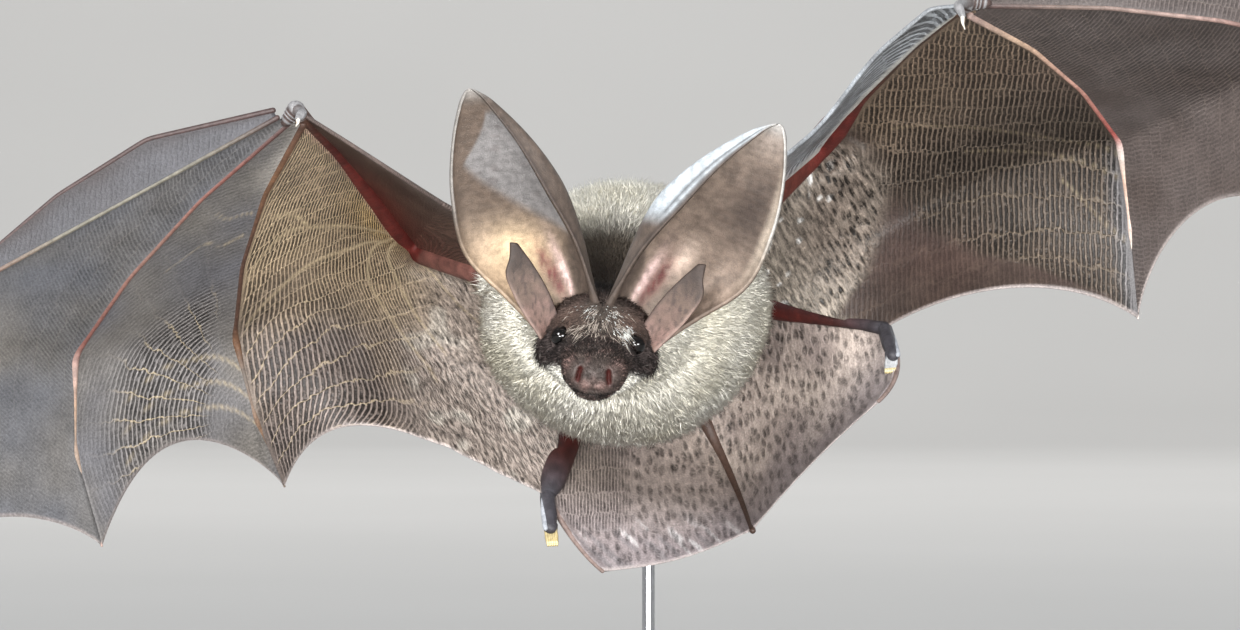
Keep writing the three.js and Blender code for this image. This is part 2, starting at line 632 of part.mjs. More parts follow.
/** Half of the tail membrane, between one leg with its calcar and the tail. */
function tailMembrane(leg) {
  const spur = calcarCurve(leg);
  const outer = [leg.hip, leg.knee, leg.ankle, spur.getPoint(0.35), spur.getPoint(0.7), spur.getPoint(1)];
  const pointAt = (s, t) => {
    const a = onPath(outer, t);
    const b = tailCurve.getPointAt(0.985 * t);
    const width = a.distanceTo(b);
    const inset = (BONE_RADII.calcar + GAP + 0.1) / width;
    return mix(a, b, inset + (1 - 2 * inset) * s);
  };
  return cut(sheet(pointAt, 6, 7, MEMBRANE_THICKNESS), trunkShape(GAP), legGrown(leg), tailShape(GAP));
}

// ---------------------------------------------------------------- stand

const rodToBody = new THREE.Vector3(...FLIGHT_DATUM).negate();

/** The rod: straight up behind the tail membrane, then bent forward into the rump. */
function rodShape(grow = 0) {
  const { rodRadius, rodX, rodY, bendRadius, bendTop, reachIntoRump, baseHeight } = STAND;
  const bend = Array.from({ length: 6 }, (_, i) => {
    const angle = (Math.PI / 2) * i / 5;
    return new THREE.Vector3(
      rodX, rodY - bendRadius * (1 - Math.cos(angle)), bendTop - bendRadius * (1 - Math.sin(angle)));
  });
  // The hollow for the rod runs a little deeper than the rod.
  const end = new THREE.Vector3(rodX, rodY - bendRadius - reachIntoRump - 3 * grow, bendTop);
  const points = [new THREE.Vector3(rodX, rodY, baseHeight + GAP + rodRadius), ...bend, end];
  return limb(points.map((point) => [point.add(rodToBody), rodRadius + grow]), 10);
}

function base() {
  const { baseRadius, baseHeight, bevel } = STAND;
  const profile = [
    [0, 0], [baseRadius, 0], [baseRadius, baseHeight - bevel],
    [baseRadius - bevel, baseHeight], [0, baseHeight],
  ].map(([radius, z]) => new THREE.Vector2(radius, z));
  const turned = new THREE.LatheGeometry(profile, 36).rotateX(Math.PI / 2);
  const open = turned.toNonIndexed();
  const place = open.getAttribute('position').array;
  return closedBody(Array.from(place), [...Array(place.length / 3).keys()]);
}

// ---------------------------------------------------------------- assembly

const bat = new THREE.Group();
bat.position.set(...FLIGHT_DATUM);

function addNode(name, geometry, material, group = bat) {
  const [color, roughness] = MATERIALS[material];
  const metalness = material === 'steel' ? 1 : 0;
  const mesh = new THREE.Mesh(geometry, new THREE.MeshStandardMaterial({ color, roughness, metalness }));
  mesh.name = name;
  group.add(mesh);
}

addNode('head', head(), 'face');
addNode('neck', neckShape(), 'coat');
addNode('trunk', trunk(), 'coat');
addNode('tail', tail(), 'membrane');
for (const [name, side] of [['right', -1], ['left', 1]]) {
  addNode(`ear_${name}`, ear(side), 'ear');
  addNode(`tragus_${name}`, tragus(side), 'ear');
  addNode(`eye_${name}`, ball(eyeCentre(side), EYE.radius, 10), 'eye');

  const leg = legJoints(LEGS[name]);
  addNode(`leg_${name}`, legShape(leg), 'armSkin');
  addNode(`foot_${name}`, foot(leg), 'foot');
  addNode(`calcar_${name}`, calcar(leg), 'finger');
  addNode(`tail_membrane_${name}`, tailMembrane(leg), 'membrane');

  const pose = WINGS[name];
  const joints = wingJoints(pose);
  addNode(`upper_arm_${name}`, upperArm(joints), 'armSkin');
  addNode(`forearm_${name}`, forearmShape(joints), 'armSkin');
  addNode(`thumb_${name}`, thumb(joints, side), 'finger');
  for (const digit of [2, 3, 4, 5]) addNode(`finger_${digit}_${name}`, finger(joints, digit), 'finger');
  const knuckle = 1.1 * BONE_RADII.finger.knuckle;
  addNode(`membrane_5_4_${name}`, fingerMembrane(joints.fingers[5], joints.fingers[4],
    [knuckle, knuckle], pose.handTrail, 0.8, 7, 6), 'membrane');
  addNode(`membrane_4_3_${name}`, fingerMembrane(joints.fingers[4], joints.fingers[3],
    [knuckle, knuckle], pose.outerTrail, 0.8, 7, 6), 'membrane');
  addNode(`membrane_3_2_${name}`, fingerMembrane(joints.fingers[3].slice(0, 4), joints.fingers[2],
    [BONE_RADII.finger.shaft, BONE_RADII.finger.shaft], 0, 1, 2, 7), 'membrane');
  addNode(`arm_membrane_${name}`, armMembrane(joints, pose, leg), 'membrane');
  addNode(`front_membrane_${name}`, frontMembrane(joints, pose), 'membrane');
}

const part = new THREE.Group();
part.add(bat);
addNode('stand_base', base(), 'base', part);
addNode('stand_rod', rodShape(), 'steel', bat);

export default part;
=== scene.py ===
"""A desert long-eared bat in flight on a display stand.

One skin carries the head, trunk, ears, limbs and wing membranes. Over it lies a coat of tufts in
ten pieces, and the eyes and claws are pieces of their own. Shapes are worked out in millimetres in
the body's own frame, whose origin is the flight datum, and turned into metres when a mesh is made.
"""
import math

import bpy
import numpy as np
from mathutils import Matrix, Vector


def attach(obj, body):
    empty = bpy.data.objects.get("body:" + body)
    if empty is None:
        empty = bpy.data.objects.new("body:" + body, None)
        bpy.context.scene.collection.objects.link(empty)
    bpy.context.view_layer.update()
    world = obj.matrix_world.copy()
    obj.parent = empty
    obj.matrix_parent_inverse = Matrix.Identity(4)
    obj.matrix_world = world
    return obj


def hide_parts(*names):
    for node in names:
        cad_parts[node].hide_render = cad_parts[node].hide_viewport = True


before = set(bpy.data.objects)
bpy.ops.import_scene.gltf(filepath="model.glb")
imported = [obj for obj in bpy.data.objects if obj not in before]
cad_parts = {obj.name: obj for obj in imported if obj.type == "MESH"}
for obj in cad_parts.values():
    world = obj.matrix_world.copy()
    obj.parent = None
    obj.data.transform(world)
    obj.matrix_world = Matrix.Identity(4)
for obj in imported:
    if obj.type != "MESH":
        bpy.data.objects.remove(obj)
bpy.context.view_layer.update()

# ------------------------------------------------------------------ sizes, in millimetres

METRES = 0.001
FLIGHT_DATUM = np.array([0.0, -45.0, 75.0])
EYE_MIDDLE = np.array([-3.1, 0.0, -3.4])
NOSE_DOWN, HEAD_TILT = 13, 6.5

# Head sections from nose to nape: y, top, bottom, half width, in the head's frame.
HEAD_SECTIONS = np.array([
    [-11.3, -2.0, -4.2, 1.5], [-10.8, -1.0, -5.4, 3.2], [-9.4, -0.1, -6.6, 4.3],
    [-7.0, 0.6, -7.4, 4.7], [-4.0, 1.6, -8.0, 5.0], [-1.5, 2.9, -8.3, 5.9],
    [1.5, 4.6, -8.4, 7.4], [5.0, 6.0, -8.2, 8.2], [9.0, 6.8, -7.6, 8.3], [13.0, 6.6, -6.8, 7.9],
])
# Trunk sections: y, x, z, half width, rise, drop, roll in degrees.
TRUNK_SECTIONS = np.array([
    [22, -1.5, 1.5, 12.0, 12.0, 13.0, 8], [28, -0.5, 1.0, 18.5, 17.0, 17.5, 10],
    [35, 0.3, 0.5, 22.0, 20.3, 20.0, 12], [43, 1.3, -0.5, 22.6, 20.8, 20.0, 15],
    [51, 2.6, -2.3, 20.5, 18.8, 18.0, 18], [59, 4.2, -4.5, 16.5, 15.5, 14.5, 22],
    [66, 5.8, -6.6, 11.5, 10.5, 10.0, 25], [70.5, 6.8, -8.0, 6.0, 5.5, 5.5, 25],
    [72, 7.2, -8.6, 2.0, 2.0, 2.0, 25],
])
TRUNK_POINTEDNESS = 1.85
FACE_COAT, BODY_COAT = 0.35, 2.4      # how deep the skin lies under the coat's outline

EYE_PLACE, EYE_RADIUS = np.array([5.35, -0.45, -0.1]), 1.48
EYE_OPENING, EYE_SOCKET, LID_REACH = 1.36, 1.15, 1.58   # the gap, the skin behind it, the lids' inside
EYE_AXIS = np.array([0.66, -0.72, 0.22])

EAR_FRONT = np.array([[0.9, 2.0, 4.4], [5.0, 0.5, 13.7], [9.7, -0.3, 20.5], [14.5, -0.2, 27.0],
                      [21.4, 0.2, 34.2]])
EAR_BACK = np.array([[7.3, 3.5, -1.6], [13.5, 4.5, 3.2], [20.3, 4.8, 9.0], [23.0, 3.8, 17.0],
                     [23.7, 2.2, 26.5], [22.9, 0.5, 33.8]])
EAR_TROUGH = 9.0
EAR_SWELL = {-1: 11.0, 1: 14.0}        # how far each ear bellies inward of its front edge
TRAGUS_INNER = np.array([[5.6, 3.6, 0.9], [7.9, 3.2, 5.5], [10.2, 2.8, 8.8], [12.9, 2.2, 12.0]])
TRAGUS_OUTER = np.array([[8.2, 1.8, -1.4], [12.7, 1.6, 4.6], [14.2, 1.6, 7.9], [13.9, 1.8, 9.8],
                         [14.1, 2.0, 12.1]])

BONE = dict(humerus=36, forearm=59, metacarpal3=54.5, phalanx3a=20.5, phalanx3b=28,
            metacarpal4=53, phalanx4a=15, phalanx4b=15, metacarpal5=51, phalanx5a=12.8,
            phalanx5b=14.2, femur=19, tibia=27, foot=7, toe=4.5, calcar=16)
WINGS = {
    "right": dict(
        side=-1, shoulder=(-11.9, 30, 3.4), neck_edge=(-13, 30, 9),
        humerus=(125, 11), forearm=(-105, 19),
        metacarpal5=(107, -40), phalanx5a=(45, -71), phalanx5b=(65, -49),
        metacarpal4=(149, -42), phalanx4a=(95, -72), phalanx4b=(45, -70),
        metacarpal3=(175, -28), phalanx3a=(152, -59), phalanx3b=(-176, -67),
        arm_trail=(0.17, 0.60, 0.60, 0.24), hand_trail=0.165, outer_trail=0.08),
    "left": dict(
        side=1, shoulder=(11.3, 30, 8.4), neck_edge=(13, 30, 14),
        humerus=(53, 29), forearm=(-69, 19),
        metacarpal5=(58, -22), phalanx5a=(60, -74), phalanx5b=(5, -85),
        metacarpal4=(12, -6), phalanx4a=(3, -80), phalanx4b=(93, -75),
        metacarpal3=(3, 9), phalanx3a=(-6, -33), phalanx3b=(25, -47),
        arm_trail=(0.25, 0.29, 0.66, 0.24), hand_trail=0.17, outer_trail=0.08),
}
LEGS = {
    "right": dict(side=-1, hip=(2.8, 60, -9.7), femur=(122, -12), tibia=(-100, -31),
                  foot=(-84, -42), calcar=(-43, -44), calcar_bow=(0, 0, -2.2)),
    "left": dict(side=1, hip=(8.6, 60, -4.8), femur=(48, 20), tibia=(-42, -8),
                 foot=(-80, -35), calcar=(-97, -43), calcar_bow=(4.5, 0, -1)),
}
TAIL = np.array([[7.4, 64, -8.4], [11, 88, -10], [19, 86, -28], [20.3, 57, -33]], float)
BOW = dict(forearm=2.0, metacarpal=3.2, leading=(6.3, 5.4, 3.0, 1.5))
CARPUS_STEP, FINGER_START = 1.22, 2.6

SKIN_HALF = 0.13                      # half the thickness of the wing skin
ARM_SKIN, FRONT_SKIN, TAIL_SKIN = (92, 70), (88, 12), (40, 52)     # width and length of each patch
HAND_SKIN = (18, 80)
BODY_TUFTS, FACE_TUFTS = 136000, 80000
BODY_CLEARANCE, FACE_CLEARANCE = 0.7, 0.35      # how near the tufts may come to the ears
BARE_ROUND_EYE = 1.75                 # no tuft stands nearer to the middle of an eye
UV_PATCH = 0.003                      # each tuft's patch of its coat's baked picture

CORE_VOXEL, CORE_ROUNDS = (0.4), 6
CELL_ACROSS, CELL_ALONG = ((0.4, 0.8))
EAR_GRID = ((110, 100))
COAT_SHARE = 1.0

rng = np.random.default_rng(7)

# ------------------------------------------------------------------ vectors and curves


def unit(v):
    return v / np.maximum(np.linalg.norm(v, axis=-1, keepdims=True), 1e-9)


def direction(angles):
    heading, climb = np.radians(angles)
    level = math.cos(climb)
    return np.array([level * math.cos(heading), level * math.sin(heading), math.sin(climb)])


def swell(t):
    return np.sin(np.pi * np.clip(t, 0, 1))


def smoothstep(low, high, x):
    t = np.clip((x - low) / (high - low), 0, 1)
    return t * t * (3 - 2 * t)


def bump(x, width):
    return np.exp(-(x / width) ** 2)


def mix(a, b, t):
    return a + (b - a) * np.asarray(t)[..., None]


def on_path(points, t):
    """Points a fraction t of the way along a bent line."""
    points = np.asarray(points, float)
    reach = np.concatenate([[0], np.cumsum(np.linalg.norm(np.diff(points, axis=0), axis=1))])
    where = np.asarray(t) * reach[-1]
    return np.stack([np.interp(where, reach, points[:, k]) for k in range(3)], -1)


def soften(points, rounds=6, count=90):
    """The same line with its corners rounded and its ends kept."""
    line = on_path(points, np.linspace(0, 1, count))
    for _ in range(rounds):
        line[1:-1] = (line[:-2] + 2 * line[1:-1] + line[2:]) / 4
    return line


def bezier(p, t):
    t = np.asarray(t)[..., None]
    return (1 - t) ** 3 * p[0] + 3 * (1 - t) ** 2 * t * p[1] + 3 * (1 - t) * t ** 2 * p[2] + t ** 3 * p[3]


def spline(keys, where, t):
    """A smooth curve through keys, which sit at where; t is any array."""
    keys = np.asarray(keys, float)
    where = np.asarray(where, float)
    slope = np.gradient(keys, where, axis=0)
    t = np.clip(t, where[0], where[-1])
    k = np.clip(np.searchsorted(where, t, side="right") - 1, 0, len(where) - 2)
    gap = where[k + 1] - where[k]
    x = (t - where[k]) / gap
    shape = x.shape + (1,) * (keys.ndim - 1)
    x, gap = x.reshape(shape), gap.reshape(shape)
    return ((2 * x ** 3 - 3 * x ** 2 + 1) * keys[k] + (x ** 3 - 2 * x ** 2 + x) * gap * slope[k]
            + (-2 * x ** 3 + 3 * x ** 2) * keys[k + 1] + (x ** 3 - x ** 2) * gap * slope[k + 1])


def through(points, t):
    """A smooth curve through a few points, evenly paced."""
    points = np.asarray(points, float)
    reach = np.concatenate([[0], np.cumsum(np.linalg.norm(np.diff(points, axis=0), axis=1))])
    return spline(points, reach / reach[-1], np.asarray(t, float))


def noise(p, scale, seed=0):
    """Smooth noise from -1 to 1: random values on a lattice of the given spacing."""
    q = np.asarray(p, float) / scale + 100.0
    cell = np.floor(q).astype(np.int64)
    f = q - cell
    f = f * f * (3 - 2 * f)
    total = 0.0
    for corner in np.ndindex(2, 2, 2):
        k = cell + np.array(corner)
        h = (k[..., 0] * 73856093) ^ (k[..., 1] * 19349663) ^ (k[..., 2] * 83492791) ^ (seed * 2654435761)
        h = (h ^ (h >> 13)) * 1274126177 & 0x7FFFFFFF
        weight = np.prod(np.where(np.array(corner) == 1, f, 1 - f), axis=-1)
        total = total + weight * (h / 0x3FFFFFFF - 1)
    return total


# ------------------------------------------------------------------ the head's frame


def rotation(axis, degrees):
    c, s = math.cos(math.radians(degrees)), math.sin(math.radians(degrees))
    return {"x": np.array([[1, 0, 0], [0, c, -s], [0, s, c]]),
            "y": np.array([[c, 0, s], [0, 1, 0], [-s, 0, c]])}[axis]


HEAD_TURN = rotation("y", HEAD_TILT) @ rotation("x", NOSE_DOWN)


def from_head(p):
    return p @ HEAD_TURN.T + EYE_MIDDLE


def to_head(p):
    return (p - EYE_MIDDLE) @ HEAD_TURN


# ------------------------------------------------------------------ skeleton


def wing_joints(pose):
    shoulder = np.array(pose["shoulder"], float)
    elbow = shoulder + BONE["humerus"] * direction(pose["humerus"])
    wrist = elbow + BONE["forearm"] * direction(pose["forearm"])
    fingers = {}
    for digit in (3, 4, 5):
        knuckle = wrist + BONE[f"metacarpal{digit}"] * direction(pose[f"metacarpal{digit}"])
        joint = knuckle + BONE[f"phalanx{digit}a"] * direction(pose[f"phalanx{digit}a"])
        tip = joint + BONE[f"phalanx{digit}b"] * direction(pose[f"phalanx{digit}b"])
        fingers[digit] = [knuckle, joint, tip]
    fan = unit(fingers[5][0] - fingers[3][0])
    for digit in (3, 4, 5):
        knuckle = fingers[digit][0]
        base = wrist + FINGER_START * unit(knuckle - wrist) + (digit - 3.45) * CARPUS_STEP * fan
        bow = 0 if digit == 3 else BOW["metacarpal"]
        bowed = [base + (knuckle - base) * t - fan * bow * swell(t) for t in (1 / 3, 2 / 3)]
        fingers[digit] = [base, *bowed, *fingers[digit]]
    base3, knuckle3 = fingers[3][0], fingers[3][3]
    shaft = unit(knuckle3 - base3)
    lead = unit(np.array([0, 0, 1.0]) - shaft * shaft[2])
    leading = [base3 + (knuckle3 - base3) * t + lead * out
               for t, out in zip((0.35, 0.65, 0.88, 0.985), BOW["leading"])]
    fingers[2] = [base3 + lead * CARPUS_STEP, *leading]
    forward = np.array([0, -0.6, 0.8])
    arm = [elbow + (wrist - elbow) * t + forward * BOW["forearm"] * swell(t) for t in (0.3, 0.65)]
    return dict(shoulder=shoulder, elbow=elbow, wrist=wrist, lead=lead, fan=fan,
                forearm=soften([elbow, *arm, wrist]),
                knuckle={d: np.array(fingers[d][3]) for d in (3, 4, 5)},
                joint={d: np.array(fingers[d][4]) for d in (3, 4, 5)},
                fingers={d: soften(path, 3) for d, path in fingers.items()},
                metacarpal3=soften(fingers[3][:4], 3))


def leg_joints(pose):
    hip = np.array(pose["hip"], float)
    knee = hip + BONE["femur"] * direction(pose["femur"])
    ankle = knee + BONE["tibia"] * direction(pose["tibia"])
    ball = ankle + BONE["foot"] * direction(pose["foot"])
    calcar_tip = ankle + BONE["calcar"] * direction(pose["calcar"])
    middle = (ankle + calcar_tip) / 2 + np.array(pose["calcar_bow"], float)
    t = np.linspace(0, 1, 30)[:, None]
    start = ankle + (middle - ankle) * 0.1
    calcar = (1 - t) ** 2 * start + 2 * (1 - t) * t * middle + t ** 2 * calcar_tip
    return dict(hip=hip, knee=knee, ankle=ankle, ball=ball, calcar=calcar, pose=pose)


# ------------------------------------------------------------------ collecting one mesh from many surfaces


class Surface:
    """Grids and tubes gathered into one mesh, with the same values on all their points.

    tint is the painted colour. weave holds (place across the wrinkles, place along them, strength)
    of the wing's ladder of wrinkles and pucker the same for its dimples, both counted in wrinkles.
    crease is the depth of irregular creases along the dimples, vein is 1 on an elastic fibre of
    the wing, and rung how bright the ladder's rungs are.
    """

    KINDS = {"tint": "FLOAT_COLOR", "weave": "FLOAT_VECTOR", "pucker": "FLOAT_VECTOR",
             "crease": "FLOAT", "vein": "FLOAT", "rung": "FLOAT"}

    def __init__(self):
        self.points, self.faces, self.materials = [], [], []
        self.values = {name: [] for name in self.KINDS}
        self.count = 0

    def add(self, points, faces, tint, material=0, **values):
        n = len(points)
        self.points.append(points)
        for face in faces:
            self.faces.append(face + self.count)
            self.materials.append(np.full(len(face), material, np.int32))
        values["tint"] = tint
        for name, kind in self.KINDS.items():
            size = 1 if kind == "FLOAT" else 3
            self.values[name].append(np.broadcast_to(values.get(name, np.zeros(size)), (n, size)))
        self.count += n

    def build(self, name, materials):
        mesh = new_mesh(name, np.concatenate(self.points), self.faces)
        mesh.polygons.foreach_set("material_index", np.concatenate(self.materials))
        for value, kind in self.KINDS.items():
            add_value(mesh, value, kind, np.concatenate(self.values[value]))
        return new_object(name, mesh, materials)


def new_mesh(name, points, faces):
    """A smooth mesh from points in millimetres and arrays of quads and triangles."""
    mesh = bpy.data.meshes.new(name)
    world = (points + FLIGHT_DATUM) * METRES
    mesh.vertices.add(len(world))
    mesh.vertices.foreach_set("co", world.astype(np.float32).ravel())
    sizes = np.concatenate([np.full(len(f), f.shape[1], np.int32) for f in faces])
    corners = np.concatenate([f.ravel() for f in faces]).astype(np.int32)
    mesh.loops.add(len(corners))
    mesh.loops.foreach_set("vertex_index", corners)
    mesh.polygons.add(len(sizes))
    mesh.polygons.foreach_set("loop_start", np.concatenate([[0], np.cumsum(sizes)[:-1]]).astype(np.int32))
    mesh.polygons.foreach_set("loop_total", sizes)
    mesh.polygons.foreach_set("use_smooth", np.ones(len(sizes), bool))
    mesh.update(calc_edges=True)
    return mesh


def add_value(mesh, name, kind, values):
    key = {"FLOAT_COLOR": "color", "FLOAT_VECTOR": "vector", "FLOAT": "value"}[kind]
    if kind == "FLOAT_COLOR":
        values = np.concatenate([values, np.ones((len(values), 1))], axis=1)
    attribute = mesh.attributes.new(name, kind, "POINT")
    attribute.data.foreach_set(key, np.ascontiguousarray(values, np.float32).ravel())


def new_object(name, mesh, materials):
    obj = bpy.data.objects.new(name, mesh)
    bpy.context.scene.collection.objects.link(obj)
    for material in materials:
        mesh.materials.append(material)
    return obj


# ------------------------------------------------------------------ grids


def grid_faces(columns, rows, closed=False):
    """Quads over a grid of points stored row by row; closed joins the last column to the first."""
    i = np.arange(columns if closed else columns - 1)
    j = np.arange(rows - 1)
    a = (j[:, None] * columns + i[None, :]).ravel()
    b = (j[:, None] * columns + ((i + 1) % columns)[None, :]).ravel()
    return np.stack([a, b, b + columns, a + columns], 1)


def closed_faces(sides, rows):
    """Faces of a closed tube over rings of points, with a fan at each end to two points after them."""
    k, n = np.arange(sides), rows * sides
    after = (k + 1) % sides
    return [grid_faces(sides, rows, closed=True),
            np.stack([np.full(sides, n), after, k], 1),
            np.stack([np.full(sides, n + 1), n - sides + k, n - sides + after], 1)]


def grid_normals(p):
    return unit(np.cross(np.gradient(p, axis=1), np.gradient(p, axis=0)))


def slab(surface, p, half, tint, material, lift=None, **values):
    """A closed sheet round the grid p, half thick on each side; lift moves it along its normals."""
    rows, columns = p.shape[:2]
    normal = grid_normals(p)
    if lift is not None:
        p = p + normal * lift[..., None]
    front = p + normal * half[..., None]
    back = p - normal * half[..., None]
    faces = grid_faces(columns, rows)
    n = rows * columns
    border = np.concatenate([np.arange(columns), np.arange(1, rows) * columns + columns - 1,
                             (rows - 1) * columns + np.arange(columns - 2, -1, -1),
                             np.arange(rows - 2, 0, -1) * columns])
    after = np.roll(border, -1)
    walls = np.stack([border, border + n, after + n, after], 1)

    def on_both(value):
        flat = np.asarray(value).reshape(n, -1)
        return np.concatenate([flat, flat])

    points = np.concatenate([front.reshape(n, 3), back.reshape(n, 3)])
    surface.add(points, [faces, faces[:, ::-1] + n, walls], on_both(tint), material,
                **{name: on_both(value) for name, value in values.items()})


def radii_along(line, keys):
    """Radii along a line from [(share of its length, radius), ...]."""
    return np.interp(np.linspace(0, 1, len(line)), *zip(*keys))


def tube(surface, line, radii, tint, sides=14, material=0):
    """A round limb along a line, closed by a dome at each end.

    radii is a list of (share of the length, radius), or an array with one radius for each point.
    """
    line = np.asarray(line, float)
    radius = radii_along(line, radii) if isinstance(radii, list) else radii
    heading = unit(np.gradient(line, axis=0))
    dome = np.radians([75, 50, 25])
    rise, shrink = np.sin(dome), np.cos(dome)
    first = line[0] - heading[0] * (radius[0] * rise)[:, None]
    last = line[-1] + heading[-1] * (radius[-1] * rise)[:, None]
    line = np.concatenate([first, line, last[::-1]])
    radius = np.concatenate([radius[0] * shrink, radius, (radius[-1] * shrink)[::-1]])
    heading = np.pad(heading, ((3, 3), (0, 0)), "edge")
    side = np.array([1.0, 0, 0]) if abs(heading[0, 0]) < 0.8 else np.array([0, 0, 1.0])
    sides_along = []
    for h in heading:
        side = unit(side - h * (side @ h))
        sides_along.append(side)
    side = np.array(sides_along)
    up = np.cross(heading, side)
    angle = 2 * np.pi * np.arange(sides) / sides
    ring = side[:, None] * np.cos(angle)[None, :, None] + up[:, None] * np.sin(angle)[None, :, None]
    p = line[:, None] + ring * radius[:, None, None]
    points = np.concatenate([p.reshape(-1, 3), line[:1], line[-1:]])
    if np.ndim(tint) == 2:
        tint = np.pad(tint, ((3, 3), (0, 0)), "edge")
        tint = np.concatenate([np.repeat(tint, sides, axis=0), tint[:1], tint[-1:]])
    surface.add(points, closed_faces(sides, len(line)), tint, material)


# ------------------------------------------------------------------ colours


def srgb(*levels):
    """A linear colour from the 0 to 255 levels seen on a screen."""
    c = np.array(levels, float) / 255
    return np.where(c <= 0.04045, c / 12.92, ((c + 0.055) / 1.055) ** 2.4)


CREAM, CREAM_SHADE = srgb(246, 243, 233), srgb(220, 214, 194)
# The second and third of these are painted shade at the nape and the crown; the third also darkens the
# brow's hair.
SAND, NAPE_SHADE, DARK_HAIR_AND_SHADE = srgb(214, 198, 166), srgb(78, 66, 54), srgb(44, 35, 30)
VELVET, FACE_DARK, FACE_PINK = srgb(88, 77, 72), srgb(36, 31, 30), srgb(128, 103, 97)
HAIR_WHITE, HAIR_TAN = srgb(216, 218, 214), srgb(172, 161, 150)
NOSTRIL_RED = srgb(76, 24, 18)
EAR_RED = srgb(112, 60, 56)
ARM_BLACK, ARM_RED, ARM_BROWN = srgb(66, 30, 26), srgb(122, 46, 40), srgb(100, 74, 60)
TAIL_PINK, FOOT_DARK = srgb(164, 142, 134), srgb(74, 72, 78)


# Bare skin shows this share of the tint painted on it, because it looks lighter than the coat does.
SKIN_SHARE = 0.53


def blend_in(colours, colour, amount):
    return colours + (colour - colours) * np.clip(amount, 0, 1)[..., None]


def layered(colours, *layers):
    """Colours with layers of (colour, amount) laid over them in turn."""
    for colour, amount in layers:
        colours = blend_in(colours, colour, amount)
    return colours


def blob(p, centre, size):
    d = (p - np.asarray(centre, float)) / np.asarray(size, float)
    return np.exp(-np.sum(d * d, axis=-1))


def body_tint(p):
    """The coat's and the body skin's colour at points of the body."""
    x, y, z = p.T
    back = smoothstep(4, 14, z) * smoothstep(34, 48, y)
    # Painted shade: the nape between the ears and a blob at the crown behind the head are painted dark
    # brown, where the head and ears shade the fur.
    nape_shade = smoothstep(-2, 6, z) * smoothstep(27, 19, y) * (1 - 0.7 * smoothstep(7, 13, np.abs(x)))
    return layered(
        CREAM,
        (CREAM_SHADE, 0.35 + 0.6 * noise(p, 6.0, 1)),
        (SAND, 0.75 * back),
        (NAPE_SHADE, 0.95 * nape_shade),
        (DARK_HAIR_AND_SHADE, 0.9 * blob(p, (-2, 13, 4), (6, 7, 5))))


def mirrored(h):
    """Points of the head with both halves folded onto the left one."""
    return np.stack([np.abs(h[:, 0]), h[:, 1], h[:, 2]], 1)


def cheek_patch(f):
    """Where the cheeks carry long dark hair, outside and below the eyes."""
    return np.minimum(1, 1.5 * blob(f, (6.7, 0.2, -1.7), (3.0, 3.6, 1.9)))


def brow_patch(f):
    """The forehead between the ears' roots and the eyes, where pale hair fans out."""
    y, z = f[:, 1], f[:, 2]
    return smoothstep(-4.6, -2.4, y) * smoothstep(0.2, 1.4, z) * (1 - smoothstep(1.5, 4.5, y))


def face_tint(h):
    """The head's colour at points in the head's frame."""
    f = mirrored(h)
    ax, y, z = f.T
    lips = 0.95 * bump(z - mouth_line(ax, y), 0.3) * (1 - smoothstep(-4.5, -3.0, y))
    brow, cheek = brow_patch(f), cheek_patch(f)
    jaw = smoothstep(-6.4, -4.4, y) * smoothstep(-3.3, -4.6, z) * (1 - cheek)
    side = smoothstep(2.5, 5.5, y) * smoothstep(0.0, -3.5, z)
    c = layered(
        VELVET,
        (FACE_PINK, 0.1 + 0.5 * noise(h, 1.0, 2)),
        (FACE_DARK, 0.45 * smoothstep(-0.1, 0.6, noise(h, 0.7, 4))),
        (FACE_DARK, 0.7 * blob(f, (1.8, -5.4, 0.2), (3.4, 2.2, 1.5))),
        (FACE_DARK, 0.95 * blob(f, (EYE_PLACE[0] + 0.5, -1.0, 0.1), (1.9, 2.0, 2.2))),
        (FACE_DARK * 5.2, 0.9 * cheek),
        (FACE_DARK * 2.5, 0.8 * blob(f, (4.6, -2.4, -1.4), (1.8, 2.4, 1.7))),
        # Painted highlight: pale pink on the muzzle's side pads above the nostrils, where the light falls
        # on them.
        (FACE_PINK, 0.6 * blob(f, (3.6, -8.4, -2.2), (1.0, 1.8, 1.3))),
        # Painted highlight: a moist shine on the nose pad, low between the nostrils.
        (FACE_PINK * 1.5, 0.9 * blob(f, (1.0, -11.0, -4.1), (0.8, 1.2, 0.6))),
        (FACE_DARK * 0.8, lips),
        (NOSTRIL_RED, 2.2 * nostril_depth(ax, y, z)),
        (DARK_HAIR_AND_SHADE * 2.6, 0.8 * brow),
        (HAIR_TAN * 0.4, 0.5 * (bump(ax, 2.6) * brow)),
        (srgb(134, 110, 100), 0.6 * blob(f, (4.6, 1.2, 3.4), (2.2, 3.0, 2.2))),
        # Painted shade: the top of the head behind the eyes darkens into the shade between the ears.
        (DARK_HAIR_AND_SHADE, smoothstep(3.5, 6.5, y) * smoothstep(-1, 3, z)))
    return blend_in(c * SKIN_SHARE, CREAM, np.maximum(jaw, side) * 0.95)


def mouth_line(ax, y):
    return -5.75 + 0.10 * (y + 10.4) + 0.02 * ax ** 2


def nostril_depth(ax, y, z):
    turn = math.radians(8)
    dx, dz = ax - 2.1, z + 2.95
    u = dx * math.cos(turn) + dz * math.sin(turn)
    v = -dx * math.sin(turn) + dz * math.cos(turn)
    return np.exp(-(u / 0.34) ** 2 - (v / 1.12) ** 4) * (1 - smoothstep(-9.0, -8.0, y))


# ------------------------------------------------------------------ raw shapes of the body


def loft_shape(rings):
    """Points and faces of a closed body over rings, with a fan at each end."""
    rows, sides = rings.shape[:2]
    points = np.concatenate([rings.reshape(-1, 3), rings[:1].mean(1), rings[-1:].mean(1)])
    return points, closed_faces(sides, rows)


